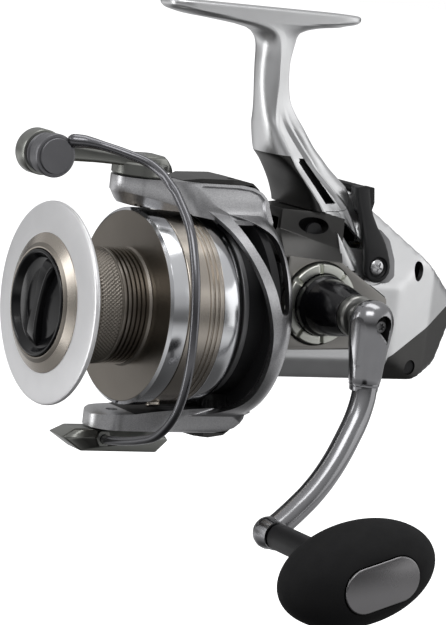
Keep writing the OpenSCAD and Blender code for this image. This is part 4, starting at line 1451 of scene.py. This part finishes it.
# along the bail lever's bar: middle in x, y and z, half width in y, half height in z
BAR = [
    (-41.0, 0.0, 48.0, 3.6, 0.5),
    (-39.9, 0.0, 48.7, 4.6, 1.3),
    (-38.2, 0.0, 49.7, 5.4, 2.2),
    (-36.6, 0.0, 50.4, 5.9, 2.7),
    (-34.5, 0.0, 50.7, 6.1, 2.5),
    (-30.0, -0.3, 50.8, 6.4, 2.3),
    (-24.0, -0.8, 51.0, 6.0, 2.1),
    (-18.0, -1.5, 51.3, 5.2, 2.2),
    (-12.0, -2.3, 51.6, 4.2, 2.5),
    (-6.0, -3.0, 51.8, 3.4, 2.9),
    (-1.0, -3.6, 51.8, 2.9, 3.1),
    (3.0, -3.8, 51.7, 2.7, 3.2),
    (7.0, -3.8, 51.6, 2.6, 3.2),
]


def bail_parts():
    """Lever with its roller end, the far disc, the wire and the lower arm."""
    start = Vector((3.2, 7.6, 56.8))
    d = Vector((-0.868, 0.492, 0.02)).normalized()
    line = [start + d * t for t in (0, 2, 4, 6.2)]
    step = 0.8
    path = even(spline(line + [Vector(p) for p in WIRE], 24), step)
    # thick rounded root at the boss, tapering to the wire
    taper = [(0, 1.2), (0.8, 2.0), (1.6, 2.3), (4, 2.35), (14, 1.6), (400, 1.6)]
    radius = [table(taper, step * i) for i in range(len(path))]
    verts, faces = sweep(path, radius, 24)
    make("bail_wire_formed", verts, faces, "bail", M["wire"], ["bail_wire"], smooth=50)
    # boss that holds the wire, with a socket a little wider than the root
    root, play = 20, 0.03
    near = [
        (1.95, 5.95), (7.2, 5.95), (7.45, 6.2), (7.45, 7.9), (7.2, 8.5), (6.6, 8.75), (6.15, 8.7),
        (6.1, 8.8),
    ]
    near += [(6.1, 9.3), (5.9, 9.5), (3.0, 9.5), (0.0, 9.5), (0.0, 7.45), (1.95, 7.45)]
    boss = lathe(near, ROLLER, "y", 96)
    cut(boss, raw(*sweep(path[:root], [r + play for r in radius[:root]], 24)))
    finish(boss, "wire_boss_turned", "bail", "boss", ["wire_boss"], 35)
    roller = [
        (1.95, 0.15), (6.6, 0.15), (6.9, 0.3), (6.9, 0.8), (5.3, 1.4), (5.3, 2.0), (6.9, 2.7), (7.1, 2.95),
        (7.1, 5.4),
    ]
    roller += [(6.9, 5.7), (1.95, 5.7)]
    spun(
        "line_roller_turned", soften(roller, 0.15), "line_roller", "boss", ["line_roller"], ROLLER, "y", 96,
        40,
    )
    # bail lever: pivot disc, bar and far disc
    disc = [(1.95, 45.8), (9.2, 45.8), (9.7, 46.3), (9.7, 49.9), (9.2, 50.5), (1.95, 50.5)]
    lever = lathe(disc, (PIVOT_X, 0, 0), "z", 96)
    rings = []
    for x, y, z, hy, hz in BAR:
        pts = rounded([(hy, hz), (-hy, hz), (-hy, -hz), (hy, -hz)], min(hy, hz) * 0.6, 4)
        rings.append([Vector((x, y + py, z + pz)) for py, pz in pts])
    bar = skin(rings)
    far = [
        (1.95, -7.0), (7.1, -7.0), (7.6, -6.8), (7.8, -6.3), (7.8, -0.5), (7.6, -0.2), (7.2, -0.1),
        (1.95, -0.1),
    ]
    cut(lever, bar, lathe(far, ROLLER, "y", 96), how="UNION")
    cut(lever, lathe(plug(40, 60, 1.95), (PIVOT_X, 0, 0), "z", 32))
    finish(lever, "bail_lever_cast", "bail", "olive", ["bail_lever"], 35)
    # lower arm: faceted bar with a hexagonal socket
    low = raw(
        *prism([(-9, -45.5), (-14, -42.8), (-48, -42.8), (-51, -46.5), (-47, -51), (-17, -50.6)], -6, 6)
    )
    cut(
        low,
        raw(
            *prism(
                [(4.5, -52), (5.6, -46), (4.5, -42.7), (-4.5, -42.7), (-5.6, -46), (-4.5, -52)], -60, 0,
                "yz",
            )
        ),
        how="INTERSECT",
    )
    bevel(low, 0.5, 3, 25)
    cut(low, lathe(plug(-60, -30, 1.95), (PIVOT_X, 0, 0), "z", 32))
    socket = [
        (-24.4 + 3.0 * math.cos(k * math.pi / 3), -45.8 + 3.0 * math.sin(k * math.pi / 3))
        for k in range(6)
    ]
    cut(low, slab(socket, 3.0, 7.1), how="UNION")
    cut(low, bar_y(-24.4, -45.8, 1.8, 9, 1.68, 32))
    finish(low, "lower_bail_arm_cast", "bail", "olive", ["lower_bail_arm"], 30)


bail_parts()


def drag_knob():
    """Front knob: rim, sloping bowl and the grip bar across it."""
    prof = [
        (2.6, -2.2), (12.4, -1.2), (15.6, -2.2), (17.0, -4.3), (17.6, -4.7), (18.2, -4.5), (18.4, -3.8),
        (18.4, 2), (17.6, 4.5), (2.6, 4.5),
    ]
    knob_body = lathe(soften(prof, 0.3), sides=128)
    rings = []
    for t in [i / 20 for i in range(21)]:
        z = lerp(-16.4, 16.4, t)
        w = 4.2 - 1.5 * math.cos(math.pi * z / 33.0) ** 2
        top = 4.4 * (1 - (abs(z) / 16.6) ** 6) + 0.2
        pts = rounded([(w * 0.72, top), (-w * 0.72, top), (-w, -0.5), (w, -0.5)], [1.0, 1.0, 0, 0], 4)
        rings.append([Vector((x, y, z)) for y, x in pts])
    cut(knob_body, skin(rings), how="UNION")
    cut(knob_body, lathe(plug(-1.7, 6, 2.55), sides=32))
    m = Matrix.Rotation(math.radians(-12), 4, "X")
    pivot = row((0, 0, 0))
    knob_body.data.transform(Matrix.Translation(pivot) @ m @ Matrix.Translation(-pivot))
    finish(knob_body, "drag_knob_moulded", "drag_knob", "black_gloss", ["drag_knob"], 35)


drag_knob()

# ---- camera, light and floor
scene = bpy.context.scene
AZIMUTH, ELEVATION, ROLL = 31.863, 7.987, 6.913
DISTANCE, SHIFT_X, SHIFT_Y = 1023.41, 59.971, -3.313
FOCAL = 3000.26
az, el = math.radians(AZIMUTH), math.radians(ELEVATION)
back = Vector((math.sin(az) * math.cos(el), math.cos(az) * math.cos(el), math.sin(el)))
right = Vector((0, 0, 1)).cross(back).normalized()
up = back.cross(right)
roll = math.radians(ROLL)
right, up = right * math.cos(roll) + up * math.sin(roll), up * math.cos(roll) - right * math.sin(roll)
eye = back * DISTANCE + right * SHIFT_X + up * SHIFT_Y
camera = bpy.data.cameras.new("camera")
# the focal length is given for a frame of 446 by 625
SENSOR, LONG_SIDE = 36.0, 625.0
camera.lens = FOCAL * SENSOR / LONG_SIDE
camera.sensor_width = SENSOR
camera.clip_start, camera.clip_end = 0.05, 20.0
cam = bpy.data.objects.new("camera", camera)
cam.matrix_world = Matrix.Translation(row(eye)) @ Matrix((right, up, back)).transposed().to_4x4()
scene_objects.link(cam)
scene.camera = cam


def softbox(name, position, target, size, power):
    """Large soft light that faces the target."""
    light = bpy.data.lights.new(name, "AREA")
    light.shape = "RECTANGLE"
    light.size, light.size_y = size
    light.energy = power
    obj = bpy.data.objects.new(name, light)
    p, t = Vector(position), Vector(target)
    obj.location = p
    obj.rotation_mode = "QUATERNION"
    obj.rotation_quaternion = (t - p).to_track_quat("-Z", "Y")
    scene_objects.link(obj)


# place, aim and size in metres, power in watts
middle = (0.0, 0.03, -0.09)
softbox("key", (0.55, 0.75, 0.85), middle, (0.8, 0.5), 4.0)
softbox("front_strip", (0.98, -0.36, -0.02), middle, (0.26, 1.2), 2.6)
softbox("rear_wall", (-1.05, 0.55, 0.10), middle, (1.3, 0.85), 3.0)
softbox("top", (-0.15, -0.05, 0.95), middle, (0.9, 0.5), 3.0)
softbox("far_front", (0.55, -0.95, -0.20), middle, (0.95, 0.8), 0.55)

# white for the camera; for reflections a studio that is bright above, darker round the horizon and grey below
world = bpy.data.worlds.new("studio")
scene.world = world
world.use_nodes = True
tree = world.node_tree
wall = tree.nodes["Background"]
wall.inputs["Color"].default_value = (1, 1, 1, 1)
wall.inputs["Strength"].default_value = 1.0
aim = add_node(tree, "TexCoord")
split = add_node(tree, "SeparateXYZ", {"Vector": aim.outputs["Generated"]})
height = add_node(tree, "MapRange", {"Value": split.outputs["Z"]}, {"From Min": -1.0, "From Max": 1.0})
ramp = add_node(tree, "ValToRGB", {"Fac": height.outputs["Result"]})
ramp.color_ramp.interpolation = "EASE"
# height of the view direction, from straight down to straight up, and brightness
stops = [
    (0.0, 0.05), (0.12, 0.09), (0.21, 0.34), (0.33, 0.62), (0.40, 0.42), (0.455, 0.09), (0.52, 0.14),
    (0.62, 0.38),
]
stops += [(0.75, 0.52), (1.0, 0.60)]
while len(ramp.color_ramp.elements) < len(stops):
    ramp.color_ramp.elements.new(0.5)
for e, (at, level) in zip(ramp.color_ramp.elements, stops):
    e.position = at
    e.color = (level, level, level * 1.01, 1)
room = add_node(tree, "Background", {"Color": ramp.outputs["Color"]}, {"Strength": 1.0})
path = add_node(tree, "LightPath")
pick = add_node(
    tree, "MixShader", {"Fac": path.outputs["Is Camera Ray"], 1: room.outputs[0], 2: wall.outputs[0]},
)
tree.links.new(pick.outputs["Shader"], tree.nodes["World Output"].inputs["Surface"])

floor_mesh = bpy.data.meshes.new("floor")
reach, drop = 8.0, -0.30
corners = [(-reach, -reach, drop), (reach, -reach, drop), (reach, reach, drop), (-reach, reach, drop)]
floor_mesh.from_pydata(corners, [], [(0, 1, 2, 3)])
floor = bpy.data.objects.new("floor", floor_mesh)
scene_objects.link(floor)
floor_mat = bpy.data.materials.new("pale_floor")
floor_mat.use_nodes = True
paint = floor_mat.node_tree.nodes["Principled BSDF"].inputs
paint["Base Color"].default_value = (0.9, 0.9, 0.9, 1)
paint["Roughness"].default_value = 0.9
paint["Specular IOR Level"].default_value = 0.0
paint["Emission Color"].default_value = (1, 1, 1, 1)
paint["Emission Strength"].default_value = 0.75
floor_mesh.materials.append(floor_mat)
floor.visible_glossy = False
floor.visible_diffuse = False
scene.view_settings.view_transform = "Standard"
